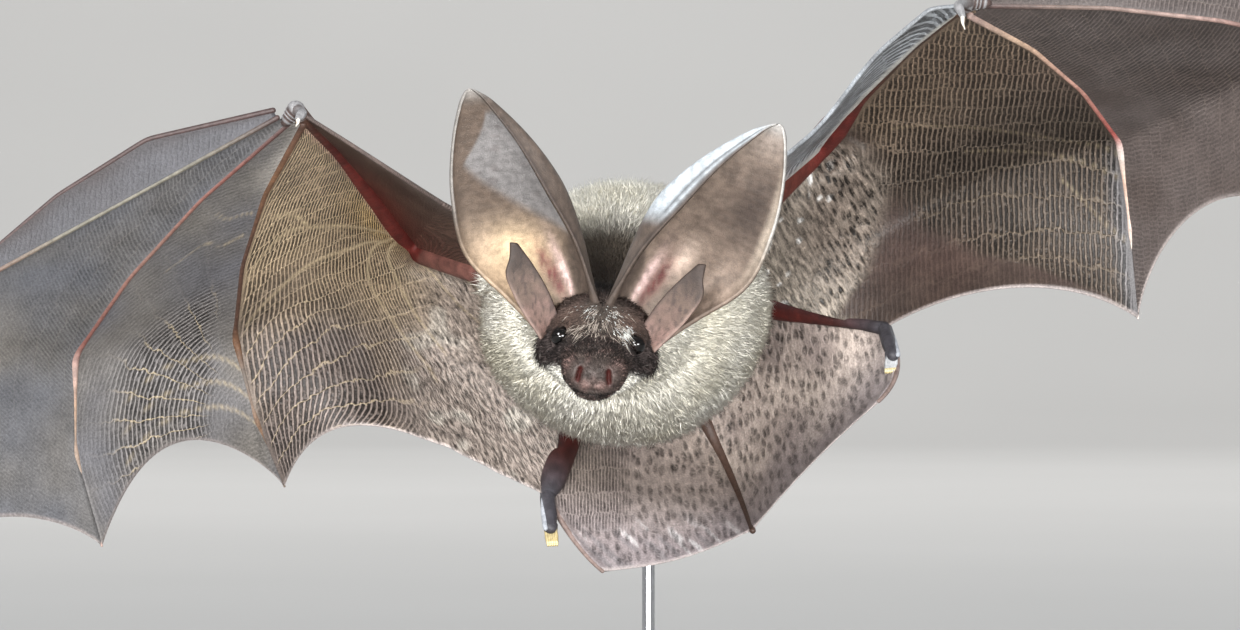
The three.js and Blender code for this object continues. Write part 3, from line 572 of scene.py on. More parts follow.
def head_rings(rows=50, sides=64):
    y = np.linspace(HEAD_SECTIONS[0, 0], HEAD_SECTIONS[-1, 0], rows)
    top, bottom, half = spline(HEAD_SECTIONS[:, 1:], HEAD_SECTIONS[:, 0], y).T
    coat = FACE_COAT + 1.7 * smoothstep(0, 9, y)
    angle = 2 * np.pi * np.arange(sides) / sides
    narrowing = 0.24 * smoothstep(1.0, -2.5, y)[:, None] * smoothstep(0.15, -0.8, np.sin(angle))
    x = (half - coat)[:, None] * np.cos(angle) * (1 - narrowing)
    z = ((top + bottom) / 2)[:, None] + ((top - bottom) / 2 - coat)[:, None] * np.sin(angle)
    h = np.stack([x, np.broadcast_to(y[:, None], x.shape), z], -1)
    return from_head(h)


def trunk_rings(rows=60, sides=64, coat=BODY_COAT):
    where = TRUNK_SECTIONS[:, 0]
    y = np.linspace(where[0], where[-1], rows)
    x, z, half, rise, drop, roll = spline(TRUNK_SECTIONS[:, 1:], where, y).T
    shrink = np.minimum(coat, 0.45 * half)
    angle = 2 * np.pi * np.arange(sides) / sides
    c, s = np.cos(angle), np.sin(angle)
    power = 2 / TRUNK_POINTEDNESS
    across = (half - shrink)[:, None] * np.sign(c) * np.abs(c) ** power
    height = np.where(s > 0, (rise - shrink)[:, None], (drop - shrink)[:, None])
    up = height * np.sign(s) * np.abs(s) ** power
    tilt = np.radians(-roll)[:, None]
    px = across * np.cos(tilt) + up * np.sin(tilt)
    pz = -across * np.sin(tilt) + up * np.cos(tilt)
    return np.stack([px + x[:, None], np.broadcast_to(y[:, None], px.shape), pz + z[:, None]], -1)


def neck_rings(rows=10):
    start, end = head_rings()[-4], trunk_rings()[3]
    t = np.linspace(0, 1, rows)[:, None, None]
    return start + (end - start) * t


def limb_shape(line, radii, sides=20):
    piece = Surface()
    tube(piece, line, radii, np.zeros(3), sides)
    return np.concatenate(piece.points), piece.faces


def straight(a, b, count=12):
    return np.linspace(a, b, count)


def body_shapes(wings, legs):
    """Head, neck, trunk, arms and legs; the right arm is the barer one and the right leg hangs."""
    shapes = [loft_shape(head_rings()), loft_shape(neck_rings()), loft_shape(trunk_rings())]
    upper_arm = {"right": [(0, 2.8), (0.5, 2.0), (1, 2.0)], "left": [(0, 3.2), (0.5, 2.9), (1, 2.3)]}
    forearm = {"right": [(0.3, 1.8), (0.6, 1.2), (0.9, 1.05)], "left": [(0.3, 1.2), (0.6, 0.9), (0.9, 0.9)]}
    shin = {"right": [(0.2, 2.7), (0.5, 2.6), (0.85, 2.2)], "left": [(0.2, 1.9), (0.5, 1.4), (0.85, 1.0)]}
    for name, joints in wings.items():
        shapes.append(limb_shape(straight(joints["shoulder"], joints["elbow"]), upper_arm[name]))
        shapes.append(limb_shape(joints["forearm"], [(0, 2.3), (0.12, 2.3), *forearm[name], (1, 1.4)]))
    for name, leg in legs.items():
        shapes.append(limb_shape(straight(leg["hip"], leg["knee"]), [(0, 3.4), (0.6, 2.7), (1, 1.8)]))
        shapes.append(limb_shape(straight(leg["knee"], leg["ankle"]), [(0, 1.8), *shin[name], (1, 1.2)]))
    return shapes


def remeshed(shapes, voxel):
    """The outer surface of overlapping closed shapes, as points and quads."""
    count = 0
    points, faces = [], []
    for p, fs in shapes:
        points.append(p)
        faces += [f + count for f in fs]
        count += len(p)
    mesh = new_mesh("raw_body", np.concatenate(points), faces)
    obj = new_object("raw_body", mesh, [])
    modifier = obj.modifiers.new("voxels", "REMESH")
    modifier.mode = "VOXEL"
    modifier.voxel_size = voxel * METRES
    evaluated = obj.evaluated_get(bpy.context.evaluated_depsgraph_get())
    result = evaluated.to_mesh()
    p = np.empty(len(result.vertices) * 3, np.float32)
    result.vertices.foreach_get("co", p)
    corners = np.empty(len(result.loops), np.int32)
    result.loops.foreach_get("vertex_index", corners)
    quads = corners.reshape(-1, 4)
    evaluated.to_mesh_clear()
    bpy.data.objects.remove(obj)
    bpy.data.meshes.remove(mesh)
    return p.reshape(-1, 3).astype(float) / METRES - FLIGHT_DATUM, quads


def largest_part(p, quads):
    """The biggest connected part of a mesh, without the crumbs that remeshing can leave."""
    edges = edges_of(quads)
    label = np.arange(len(p))
    settled = False
    while not settled:
        lower = label.copy()
        np.minimum.at(lower, edges[:, 0], label[edges[:, 1]])
        np.minimum.at(lower, edges[:, 1], label[edges[:, 0]])
        lower = lower[lower]
        settled = bool((lower == label).all())
        label = lower
    main = label == np.bincount(label).argmax()
    return p[main], (np.cumsum(main) - 1)[quads[main[quads[:, 0]]]]


def edges_of(quads):
    return np.concatenate([quads[:, [0, 1]], quads[:, [1, 2]], quads[:, [2, 3]], quads[:, [3, 0]]])


def smoothed(p, quads, rounds, amount=0.5):
    e = edges_of(quads)
    degree = np.bincount(e[:, 0], minlength=len(p)) + np.bincount(e[:, 1], minlength=len(p))
    for _ in range(rounds):
        total = np.stack([np.bincount(e[:, 0], p[e[:, 1], k], len(p))
                          + np.bincount(e[:, 1], p[e[:, 0], k], len(p)) for k in range(3)], 1)
        p = p + amount * (total / degree[:, None] - p)
    return p


def point_normals(p, quads):
    """The sum of the normals of the quads round each point, as a unit vector."""
    n = np.cross(p[quads[:, 2]] - p[quads[:, 0]], p[quads[:, 3]] - p[quads[:, 1]])
    return unit(np.stack([sum(np.bincount(quads[:, c], n[:, k], len(p)) for c in range(4))
                          for k in range(3)], 1))


def subdivided(p, quads, chosen):
    """Chosen quads are cut in four and their neighbours stay whole, joined by fans to the new corners."""
    e = np.sort(edges_of(quads), axis=1)
    key = e[:, 0] * np.int64(len(p)) + e[:, 1]
    names, place = np.unique(key, return_inverse=True)
    place = place.reshape(4, -1).T
    split = np.zeros(len(names), bool)
    split[place[chosen].ravel()] = True
    new_index = np.cumsum(split) - 1 + len(p)
    a, b = names[split] // len(p), names[split] % len(p)
    middles = (p[a] + p[b]) / 2
    centres = p[quads[chosen]].mean(1)
    c0 = len(p) + len(middles)
    c = c0 + np.arange(len(centres))
    q, m = quads[chosen], new_index[place[chosen]]
    small = np.concatenate([np.stack([q[:, k], m[:, k], c, m[:, k - 1]], 1) for k in range(4)])
    rest = quads[~chosen]
    rest_split = split[place[~chosen]]
    whole = rest[~rest_split.any(1)]
    border = []
    for corners, cuts, mids in zip(rest[rest_split.any(1)], rest_split[rest_split.any(1)],
                                   new_index[place[~chosen]][rest_split.any(1)]):
        ring = []
        for k in range(4):
            ring.append(corners[k])
            if cuts[k]:
                ring.append(mids[k])
        border += [(ring[0], ring[i], ring[i + 1]) for i in range(1, len(ring) - 1)]
    points = np.concatenate([p, middles, centres])
    return points, np.concatenate([whole, small]), np.array(border, np.int64).reshape(-1, 3)


# ------------------------------------------------------------------ the face


def sculpt(p, n):
    """The face's folds, lids, nose and mouth."""
    h, m = to_head(p), n @ HEAD_TURN
    side = np.sign(h[:, 0])
    f = mirrored(h)
    ax, y, z = f.T
    near = blob(h, (0, -3, -2), (9, 9, 8))
    # Height, middle and size of the swellings and hollows.
    folds = [
        (0.45, (3.2, -8.0, -2.0), (1.5, 2.0, 1.5)), (-0.35, (3.9, -4.4, -0.2), (1.3, 1.8, 1.4)),
        (0.45, (4.4, -0.9, 2.1), (1.8, 1.4, 0.8)), (-0.30, (0.0, -8.5, 0.0), (0.8, 2.6, 1.2)),
        (0.30, (0.0, -11.0, -2.6), (0.9, 1.4, 1.2)), (0.35, (0.95, -11.2, -4.3), (0.75, 1.2, 0.45)),
    ]
    out = sum(height * blob(f, centre, size) for height, centre, size in folds)
    # Height, place above the mouth and width of the mouth and the lips beside it.
    in_mouth = 1 - smoothstep(-4.2, -3.0, y)
    for height, above, width in ((-0.42, 0, 0.24), (0.22, 0.55, 0.32), (0.20, -0.55, 0.32)):
        out += height * bump(z - mouth_line(ax, y) - above, width) * in_mouth
    out += 0.10 * noise(h, 0.8, 3) * near
    axis = unit(EYE_AXIS)
    e = f - EYE_PLACE
    along = e @ axis
    radial = np.linalg.norm(e - along[:, None] * axis, axis=1)
    lid = (along > -0.6) * (np.linalg.norm(e, axis=1) < 3.4)
    out += lid * (0.2 * bump(radial - 1.5, 0.26) + 0.1 * bump(radial - 2.2, 0.22)
                  - 0.12 * bump(radial - 1.85, 0.16))
    h = h + m * out[:, None]
    h[:, 1] += 1.15 * nostril_depth(ax, y, z)
    f = mirrored(h)
    e = f - EYE_PLACE
    reach = np.linalg.norm(e, axis=1)
    away = e / np.maximum(reach, 1e-6)[:, None]
    # The skin sinks behind the open eye, and the lids stay clear of the eyeball.
    open_eye = (radial < EYE_OPENING) & (along > -0.4) & (reach < 2.3)
    f = np.where(open_eye[:, None], EYE_PLACE + away * np.minimum(reach, EYE_SOCKET)[:, None], f)
    over = ~open_eye & (reach < LID_REACH) & (along > -0.4)
    f = np.where(over[:, None], EYE_PLACE + away * LID_REACH, f)
    h = np.stack([f[:, 0] * np.where(side == 0, 1, side), f[:, 1], f[:, 2]], 1)
    return from_head(h)


def limb_lines(wings, legs):
    """The arms' and legs' middle lines, each with the colours along it."""
    lines = []
    arms = {
        "right": ([srgb(150, 104, 94), srgb(122, 74, 66)],
                  [ARM_RED, ARM_RED, ARM_RED, ARM_RED * 0.6, ARM_BROWN * 0.8]),
        "left": ([ARM_BROWN, ARM_RED],
                 [ARM_RED, ARM_RED * 0.7, ARM_BROWN * 0.7, ARM_BROWN * 0.7, ARM_BROWN]),
    }
    for name, joints in wings.items():
        upper, lower = arms[name]
        lines.append((straight(joints["shoulder"], joints["elbow"]), upper))
        lines.append((on_path(joints["forearm"], np.linspace(0, 1, 16)), lower))
    for leg in legs.values():
        lines.append((straight(leg["hip"], leg["knee"]), [ARM_RED, ARM_RED]))
        lines.append((straight(leg["knee"], leg["ankle"]), [ARM_RED, ARM_RED * 0.8, ARM_BLACK, FOOT_DARK]))
    return lines


def colour_stops(t, places, colours):
    """Colours at shares t of a line, from one colour at each of a few places."""
    return np.stack([np.interp(t, places, colours[:, k]) for k in range(3)], 1)


def core_tint(p, limbs):
    """Colours of head, trunk, arms and legs, each blended into the next."""
    h = to_head(p)
    c = body_tint(p)
    face = 1 - smoothstep(6.0, 9.0, h[:, 1])
    c = c + (face_tint(h) - c) * face[:, None]
    bare = outside_trunk(p)
    for line, colours in limbs:
        d, t = line_distance(p, line)
        stops = np.linspace(0, 1, len(colours))
        colour = colour_stops(t, stops, np.array(colours))
        colour = colour * (1 + 0.35 * noise(p, 1.3, 27))[:, None]
        c = c + (SKIN_SHARE * colour - c) * (smoothstep(4.6, 3.6, d) * bare)[:, None]
    return c


def line_distance(p, line):
    """Distance from each point to a bent line, and how far along it the nearest place is."""
    best = np.full(len(p), 1e9)
    where = np.zeros(len(p))
    for k in range(len(line) - 1):
        a, b = line[k], line[k + 1]
        ab = b - a
        t = np.clip((p - a) @ ab / (ab @ ab), 0, 1)
        d = np.linalg.norm(p - a - t[:, None] * ab, axis=1)
        closer = d < best
        best = np.where(closer, d, best)
        where = np.where(closer, (k + t) / (len(line) - 1), where)
    return best, where


def outside_trunk(p):
    """0 inside the trunk's skin, 1 well outside it."""
    y = np.clip(p[:, 1], TRUNK_SECTIONS[0, 0], TRUNK_SECTIONS[-1, 0])
    x, z, half, rise, drop, _ = spline(TRUNK_SECTIONS[:, 1:], TRUNK_SECTIONS[:, 0], y).T
    dx, dz = p[:, 0] - x, p[:, 2] - z
    reach = np.sqrt((dx / half) ** 2 + (dz / np.where(dz > 0, rise, drop)) ** 2)
    return smoothstep(0.86, 1.02, reach)


def body_core(wings, legs):
    """One closed skin over the body's shapes, finer in the face, where it is sculpted."""
    p, quads = largest_part(*remeshed(body_shapes(wings, legs), CORE_VOXEL))
    p = smoothed(p, quads, CORE_ROUNDS)
    h = to_head(p[quads[:, 0]])
    in_face = (h[:, 1] < 3.0) & (np.abs(h[:, 0]) < 8.5) & (np.abs(h[:, 2]) < 9.5)
    p, quads, triangles = subdivided(p, quads, in_face)
    n = point_normals(p, quads)
    p = sculpt(p, n)
    return p, quads, triangles


# ------------------------------------------------------------------ ears


def ear_surface(side, columns, rows):
    """Points of an ear in the head's frame: a trough from its front edge (s = 0) to its back edge."""
    t = np.linspace(0, 1, rows)
    flip = np.array([side, 1, 1])
    a, d = through(EAR_FRONT * flip, t), through(EAR_BACK * flip, t)
    depth = EAR_TROUGH * (1 - t) ** 0.55 * (0.55 + 0.45 * swell(t / 0.8 + 0.1))
    inward = EAR_SWELL[side] * swell(t) ** 0.7 * (0.5 + 0.5 * smoothstep(0.15, 0.6, t))
    b = a + np.stack([-side * inward, 0.9 * depth, 0 * t], 1)
    c = a * 0.25 + d * 0.75 + np.stack([0 * t, 1.15 * depth, 0 * t], 1)
    # The edges close round the tip.
    middle = (a + d) / 2
    round_off = np.sqrt(np.clip(1 - np.clip((t - 0.94) / 0.06, 0, 1) ** 2, 0, 1))[:, None]
    a, b, c, d = (middle + (v - middle) * round_off for v in (a, b, c, d))
    s = np.linspace(0, 1, columns)[None, :, None]
    a, b, c, d = (v[:, None, :] for v in (a, b, c, d))
    h = (1 - s) ** 3 * a + 3 * (1 - s) ** 2 * s * b + 3 * (1 - s) * s ** 2 * c + s ** 3 * d
    return h, np.meshgrid(s.ravel(), t)


def arc_lengths(p):
    """How far each point of a grid lies along its row, and down its column."""
    lengths = []
    for axis in (1, 0):
        steps = np.linalg.norm(np.diff(p, axis=axis), axis=-1)
        zero = np.zeros_like(np.take(steps, [0], axis=axis))
        lengths.append(np.concatenate([zero, np.cumsum(steps, axis=axis)], axis=axis))
    return lengths


def spot(s, t, centre, size):
    return np.exp(-((s - centre[0]) / size[0]) ** 2 - ((t - centre[1]) / size[1]) ** 2)


def ear_tint(s, t, side, h):
    """Thin skin, painted with backlight in the right ear, grey and glowing tan where light shines through,
    and mottled taupe in the left.
    """
    c = blend_in(srgb(126, 110, 98), srgb(96, 82, 72), 0.4 + 0.6 * noise(h, 1.5, 5))
    if side < 0:
        # Painted backlight: the grey patch is light shining through the upper middle of the ear, cut off
        # below along the edge of the shade, and the tan and cream spots are light glowing through its lower
        # part beside the tragus.
        outer = 0.57 + 1.55 * (0.9 - t)
        patch = smoothstep(outer + 0.02, outer - 0.02, s) * smoothstep(0.92, 0.88, t)
        patch = patch * smoothstep(-0.02, 0.05, t - 0.47 - 0.7 * (s - 0.55)) * (s > 0.3)
        streak = noise(h * np.array([1, 1, 3.0]), 2.2, 61)
        c = layered(
            c,
            (srgb(232, 202, 168), 0.9 * spot(s, t, (0.8, 0.26), (0.26, 0.18))),
            (srgb(250, 222, 180), spot(s, t, (0.68, 0.32), (0.13, 0.09))),
            (srgb(142, 138, 137) * (1 + 0.08 * noise(h, 0.9, 6))[..., None], patch),
            (srgb(104, 88, 76), 0.75 * (1 - patch) * smoothstep(0.42, 0.62, t) * (s > 0.5)),
            (srgb(112, 102, 100), 0.35 * patch * smoothstep(0.3, 0.6, streak)))
    else:
        # Painted light: the inner face of the outer margin is painted pale where the light falls on it.
        edge = smoothstep(0.88, 0.95, s)
        c = layered(
            c * 1.55,
            (srgb(176, 162, 152), 0.7 * spot(s, t, (0.75, 0.93), (0.4, 0.08))),
            (srgb(68, 56, 50), 0.9 * spot(s, t, (0.8, 0.64), (0.2, 0.19))),
            (srgb(206, 190, 172), 0.9 * edge * spot(s, t, (1, 0.6), (9, 0.17))),
            (srgb(235, 212, 194), spot(s, t, (0.6, 0.33), (0.05, 0.1))))
    hairs = 0.75 + 0.5 * smoothstep(-0.4, 0.4, noise(h * np.array([3.0, 3.0, 1.0]), 1.0, 62))
    red_middle = (0.585 if side < 0 else 0.56, 0.2)
    # The red strip is the skin's own; the pale pink strip beside it is a painted highlight, broken by the
    # hair streaks.
    c = layered(c, (EAR_RED, hairs * spot(s, t, red_middle, (0.055, 0.13))),
                (srgb(240, 208, 202), 0.8 * hairs * spot(s, t, (0.49, 0.18), (0.035, 0.14))))
    c = c * (0.86 + 0.28 * hairs * smoothstep(0.6, 0.2, t))[..., None]
    strip = smoothstep(0.05, -0.05, s - 0.25 - 0.19 * smoothstep(0.5, 0.2, t))
    c = blend_in(c, srgb(84, 72, 64) * (0.6 + 0.5 * hairs)[..., None], 0.9 * strip)
    if side > 0:
        lit = 0.95 * strip * smoothstep(0.38, 0.5, t) * smoothstep(0.0, 0.03, s)
        c = layered(c, (srgb(190, 198, 204) * (0.7 + 0.4 * hairs)[..., None], lit),
                    (srgb(60, 58, 60), 0.8 * bump(s - 0.045, 0.012) * smoothstep(0.4, 0.5, t)))
    c = blend_in(c, srgb(60, 48, 42), 0.8 * bump(s - 0.012, 0.012) * smoothstep(0.93, 0.8, t))
    # Painted rim light: the back edge and the tip are painted pale where light from behind catches them.
    rim = np.minimum(bump(1 - s, 0.014) + bump(1 - t, 0.04), 1)
    return blend_in(c, srgb(216, 214, 210), (0.45 if side < 0 else 0.8) * rim * smoothstep(0.45, 0.65, t))


def ear(surface, side):
    h, (s, t) = ear_surface(side, *EAR_GRID)
    ribs = 0.035 * np.sin(2 * np.pi * t * 37 / 1.05 + 2 * noise(h, 4.0, 8))
    ribs = ribs * smoothstep(0.35, 0.5, s) * smoothstep(1, 0.85, s)
    rim = np.maximum(bump(s, 0.03), bump(1 - s, 0.03))
    half = 0.17 + 0.12 * rim + 0.30 * (1 - smoothstep(0.0, 0.15, t)) + 0 * s
    half = half * (0.45 + 0.55 * smoothstep(1.0, 0.97, t))
    slab(surface, from_head(h), half, ear_tint(s, t, side, h), 1, lift=ribs)


def tragus(surface, side):
    columns, rows = 26, 60
    t = np.linspace(0, 1, rows)
    flip = np.array([side, 1, 1])
    inner, outer = through(TRAGUS_INNER * flip, t), through(TRAGUS_OUTER * flip, t)
    s = np.linspace(0, 1, columns)[None, :, None]
    h = inner[:, None] + (outer - inner)[:, None] * s
    ss, tt = np.meshgrid(s.ravel(), t)
    h[..., 1] += 0.8 * (swell(ss) - 0.5) * (1 - tt)
    half = 0.12 + 0.30 * swell(ss) ** 0.6
    streak = noise(h * np.array([3.0, 3.0, 1.0]), 1.0, 63)
    c = layered(
        srgb(104, 85, 74),
        (srgb(134, 106, 97), 0.8 * smoothstep(0.55, 0.15, tt) + 0.4 * noise(h, 1.2, 9)),
        (srgb(62, 48, 44), 0.6 * smoothstep(0.1, 0.5, streak)),
        (srgb(58, 47, 42), 0.85 * smoothstep(0.5, 0.85, tt)),
        (srgb(62, 50, 46), 0.7 * bump(ss, 0.08)),
        (srgb(186, 158, 146), 0.5 * bump(1 - ss, 0.05) * smoothstep(0.75, 0.5, tt)))
    slab(surface, from_head(h), half, c, 1)


# ------------------------------------------------------------------ wings


def membrane_half(distance, radius):
    """Half the thickness of the wing skin at a distance from a bone, which it swells to meet."""
    return SKIN_HALF + 0.3 * radius * bump(distance, 1.7 * radius + 0.1)


def cells(size):
    """Columns and rows of cells over a patch of wing skin of the given width and length."""
    return int(size[0] / CELL_ACROSS), int(size[1] / CELL_ALONG)


def tapered(half, along):
    """Thinner towards the trailing edge."""
    return half * (0.5 + 0.5 * smoothstep(0, 1.5, along[-1:, :] - along))


def edge_tint(tint, along):
    """A pale line along the trailing edge."""
    return blend_in(tint, srgb(206, 194, 190), 0.7 * bump(along[-1:, :] - along, 0.4))


def drawn(u, v, size, curves, width):
    """1 on any of a few curves drawn on a patch, given by their (u, v) points, and 0 away from them."""
    places = np.stack([u * size[0], v * size[1], 0 * u], -1).reshape(-1, 3)
    share = np.zeros(len(places))
    for curve in curves:
        line = soften(np.array([(x * size[0], y * size[1], 0.0) for x, y in curve]), 12, 40)
        distance, t = line_distance(places, line)
        share = np.maximum(share, bump(distance, width) * (1 - 0.5 * t))
    return share.reshape(u.shape)


def finger_sheet(surface, path_a, path_b, radii, trail, look):
    """The membrane between two fingers; look(s, t, p, across, along) gives its colour and wrinkles."""
    length = np.linalg.norm(np.diff(path_a, axis=0), axis=1).sum()
    width = np.linalg.norm(on_path(path_a, [0.55]) - on_path(path_b, [0.55]))
    columns, rows = (count + 4 for count in cells((width, length)))
    s, t = np.meshgrid(np.linspace(0, 1, columns), np.linspace(0.0, 1, rows))
    warped = s ** 0.8
    place = t * (1 - trail * 4 * warped * (1 - warped))
    p = mix(on_path(path_a, place), on_path(path_b, place), s)
    across, along = arc_lengths(p)
    gap = across[:, -1:] - across
    half = np.maximum(membrane_half(across, radii[0]), membrane_half(gap, radii[1]))
    tint, values = look(s, t, p, across, along)
    values["weave"][..., 2] *= smoothstep(0.3, 1.2, across) * smoothstep(0.3, 1.2, gap)
    values["weave"][..., 2] *= smoothstep(0.2, 1.0, along[-1:, :] - along)
    slab(surface, p, tapered(half, along), edge_tint(tint, along), 2, **values)


def hand_look_right(path5):
    """Bluish grey, with rows of wrinkles that fan round the fifth finger's far joint."""
    centre = on_path(path5, 0.80)
    heading = unit(on_path(path5, 0.45) - centre)

    def look(s, t, p, across, along):
        away = p - centre
        normal = unit(np.cross(heading, p[len(p) // 2, -1] - centre))
        sideways = np.cross(normal, heading)
        radius = np.linalg.norm(away, axis=-1)
        angle = np.arctan2(away @ sideways, away @ heading)
        crescent = smoothstep(7, 10, radius) * smoothstep(27, 20, radius) * smoothstep(0.10, 0.25, s)
        crescent = crescent * smoothstep(0.98, 0.9, s) * smoothstep(0.22, 0.36, t)
        weave = np.stack([radius / 0.76, angle / 0.18, 0.12 + 0.88 * crescent], -1)
        tint = layered(
            srgb(112, 111, 115),
            (srgb(132, 126, 118), 0.4 + 0.5 * noise(p, 7.0, 21)),
            (srgb(120, 114, 112), 0.5 * crescent),
            (srgb(190, 184, 176), 0.8 * spot(s, t, (0.0, 0.1), (0.35, 0.1))))
        arcs = [[(0.0, 0.72 + k), (0.3, 0.80 + k), (0.75, 0.84 + k)] for k in (0.0, 0.06, 0.12)]
        arcs += [[(0.1, 0.35), (0.3, 0.42), (0.5, 0.40), (0.7, 0.47)],
                 [(0.1, 0.28), (0.4, 0.33), (0.6, 0.30)]]
        vein = 0.5 * drawn(s, t, HAND_SKIN, arcs, 0.2)
        return tint, dict(weave=weave, vein=vein, rung=0.15 + 0.5 * crescent)

    return look


def hand_look(colour, shade, seed, strength, cells=(0.68, 2.7), sway=0.0):
    """Plain wing skin with faint rows of wrinkles that lie along the hand."""
    def look(s, t, p, across, along):
        tint = blend_in(colour, shade, 0.5 + 0.6 * noise(p, 6.0, seed))
        patchy = strength * (0.35 + 0.65 * smoothstep(-0.3, 0.3, noise(p, 14.0, seed + 1)))
        weave = np.stack([(along + sway * across) / cells[0], across / cells[1], patchy], -1)
        return tint, dict(weave=weave, rung=0.08 + 0 * s)

    return look


def leading_look(colour, shade, seed):
    """The narrow skin before the third finger, darkest along the wing's leading edge."""
    def look(s, t, p, across, along):
        tint = blend_in(colour, shade, 0.8 * bump(1 - s, 0.35) + 0.3 * noise(p, 5.0, seed))
        weave = np.stack([(along + 0.6 * across) / 0.9, across / 2.5, 0.12 + 0 * s], -1)
        return tint, dict(weave=weave)

    return look


def arm_patch(joints, pose, leg):
    """The skin held by the arm, the fifth finger, the ankle and the flank, and its two coordinates."""
    arm = np.concatenate([[joints["shoulder"]], joints["forearm"]])
    digit = np.concatenate([[joints["wrist"]], joints["fingers"][5][3:]])
    tip = digit[-1]
    chord = leg["ankle"] - tip
    lift = joints["wrist"] - tip
    lift = unit(lift - chord * (lift @ chord) / (chord @ chord))
    near_share, near_pull, far_share, far_pull = pose["arm_trail"]
    size = np.linalg.norm(chord)
    far = tip + chord * far_share + lift * far_pull * size
    near = tip + chord * near_share + lift * near_pull * size
    trail = np.array([leg["ankle"], far, near, tip])
    shoulder, knee, ankle = joints["shoulder"], leg["knee"], leg["ankle"]
    flank = np.array([shoulder, shoulder + 0.4 * (knee - shoulder), knee + 0.1 * (ankle - knee), ankle])
    columns, rows = cells(ARM_SKIN)
    u, v = np.meshgrid(np.linspace(0.0, 1, columns), np.linspace(0, 1, rows))
    # The bend at the elbow fades out a little way below it.
    edge = mix(on_path(arm, u), on_path(soften(arm, 700), u), smoothstep(0.0, 0.3, v))
    p = mix(edge, bezier(trail, u), v) + mix(bezier(flank, v), on_path(digit, v), u)
    top, bottom = mix(shoulder, joints["wrist"], u), mix(ankle, tip, u)
    p = p - mix(top, bottom, v)
    p[..., 1] += 3.5 * swell(u) * swell(v)
    return p, u, v


def slanting(p, across, down):
    """Coordinates of cells that slant down to the bat's left, counted in cells of the given size."""
    x, z = p[..., 0], p[..., 2]
    return (0.87 * x + 0.5 * z) / across, (0.5 * x - 0.87 * z) / down


def arm_look_right(u, v, p, across, along):
    """Taupe skin with yellow fibres that fan from the elbow and fine upright wrinkles between."""
    rows = 21 * (v + 1.05 * (1 - u) * (1 - v))
    to_finger = across[:, -1:] - across
    near_body = smoothstep(0.42, 0.22, u - 0.12 * v)
    strength = (1 - near_body) * (1.0 + 0.25 * noise(p, 8.0, 31))
    weave = np.stack([(to_finger + 0.1 * along) / 0.8, rows, strength], -1)
    pucker = np.stack([*slanting(p, 0.7, 2.0), 0.3 * near_body], -1)
    tint = layered(
        srgb(190, 168, 140),
        (srgb(116, 105, 99), smoothstep(0.35, 0.75, v) + 0.3 * noise(p, 7.0, 32)),
        (srgb(236, 200, 134), 0.7 * spot(u, v, (0.55, 0.1), (0.12, 0.1))),
        (srgb(166, 153, 144), 0.9 * near_body),
        # Painted highlights: whitish glints scattered over the puckered skin by the body.
        (srgb(220, 216, 204), 0.4 * near_body * smoothstep(0.3, 0.7, noise(p, 4.0, 33))),
        (srgb(224, 186, 164), 0.9 * bump(along - 2.4, 0.6) * smoothstep(0.42, 0.5, u)))
    fibres = [
        [(0.46, 0.08), (0.56, 0.19), (0.74, 0.30), (0.80, 0.31), (0.87, 0.35), (0.97, 0.49)],
        [(0.76, 0.30), (0.84, 0.27), (0.93, 0.30)],
        [(0.48, 0.17), (0.58, 0.32), (0.67, 0.39), (0.73, 0.45), (0.85, 0.57), (0.95, 0.64)],
        [(0.47, 0.10), (0.52, 0.32), (0.51, 0.43), (0.46, 0.51), (0.42, 0.59), (0.36, 0.68),
         (0.33, 0.74)],
        [(0.46, 0.12), (0.46, 0.22), (0.44, 0.29), (0.40, 0.39), (0.36, 0.49), (0.30, 0.60)],
        [(0.42, 0.06), (0.39, 0.13), (0.31, 0.19), (0.28, 0.28), (0.20, 0.36)],
        [(0.30, 0.0), (0.22, 0.10), (0.12, 0.26), (0.0, 0.34)],
    ]
    vein = drawn(u, v, ARM_SKIN, fibres, 0.4)
    weave[..., 2] *= 1 - 0.8 * vein
    return tint, dict(weave=weave, pucker=pucker, crease=0.75 * near_body, vein=vein,
                      rung=0.45 + 0 * u)


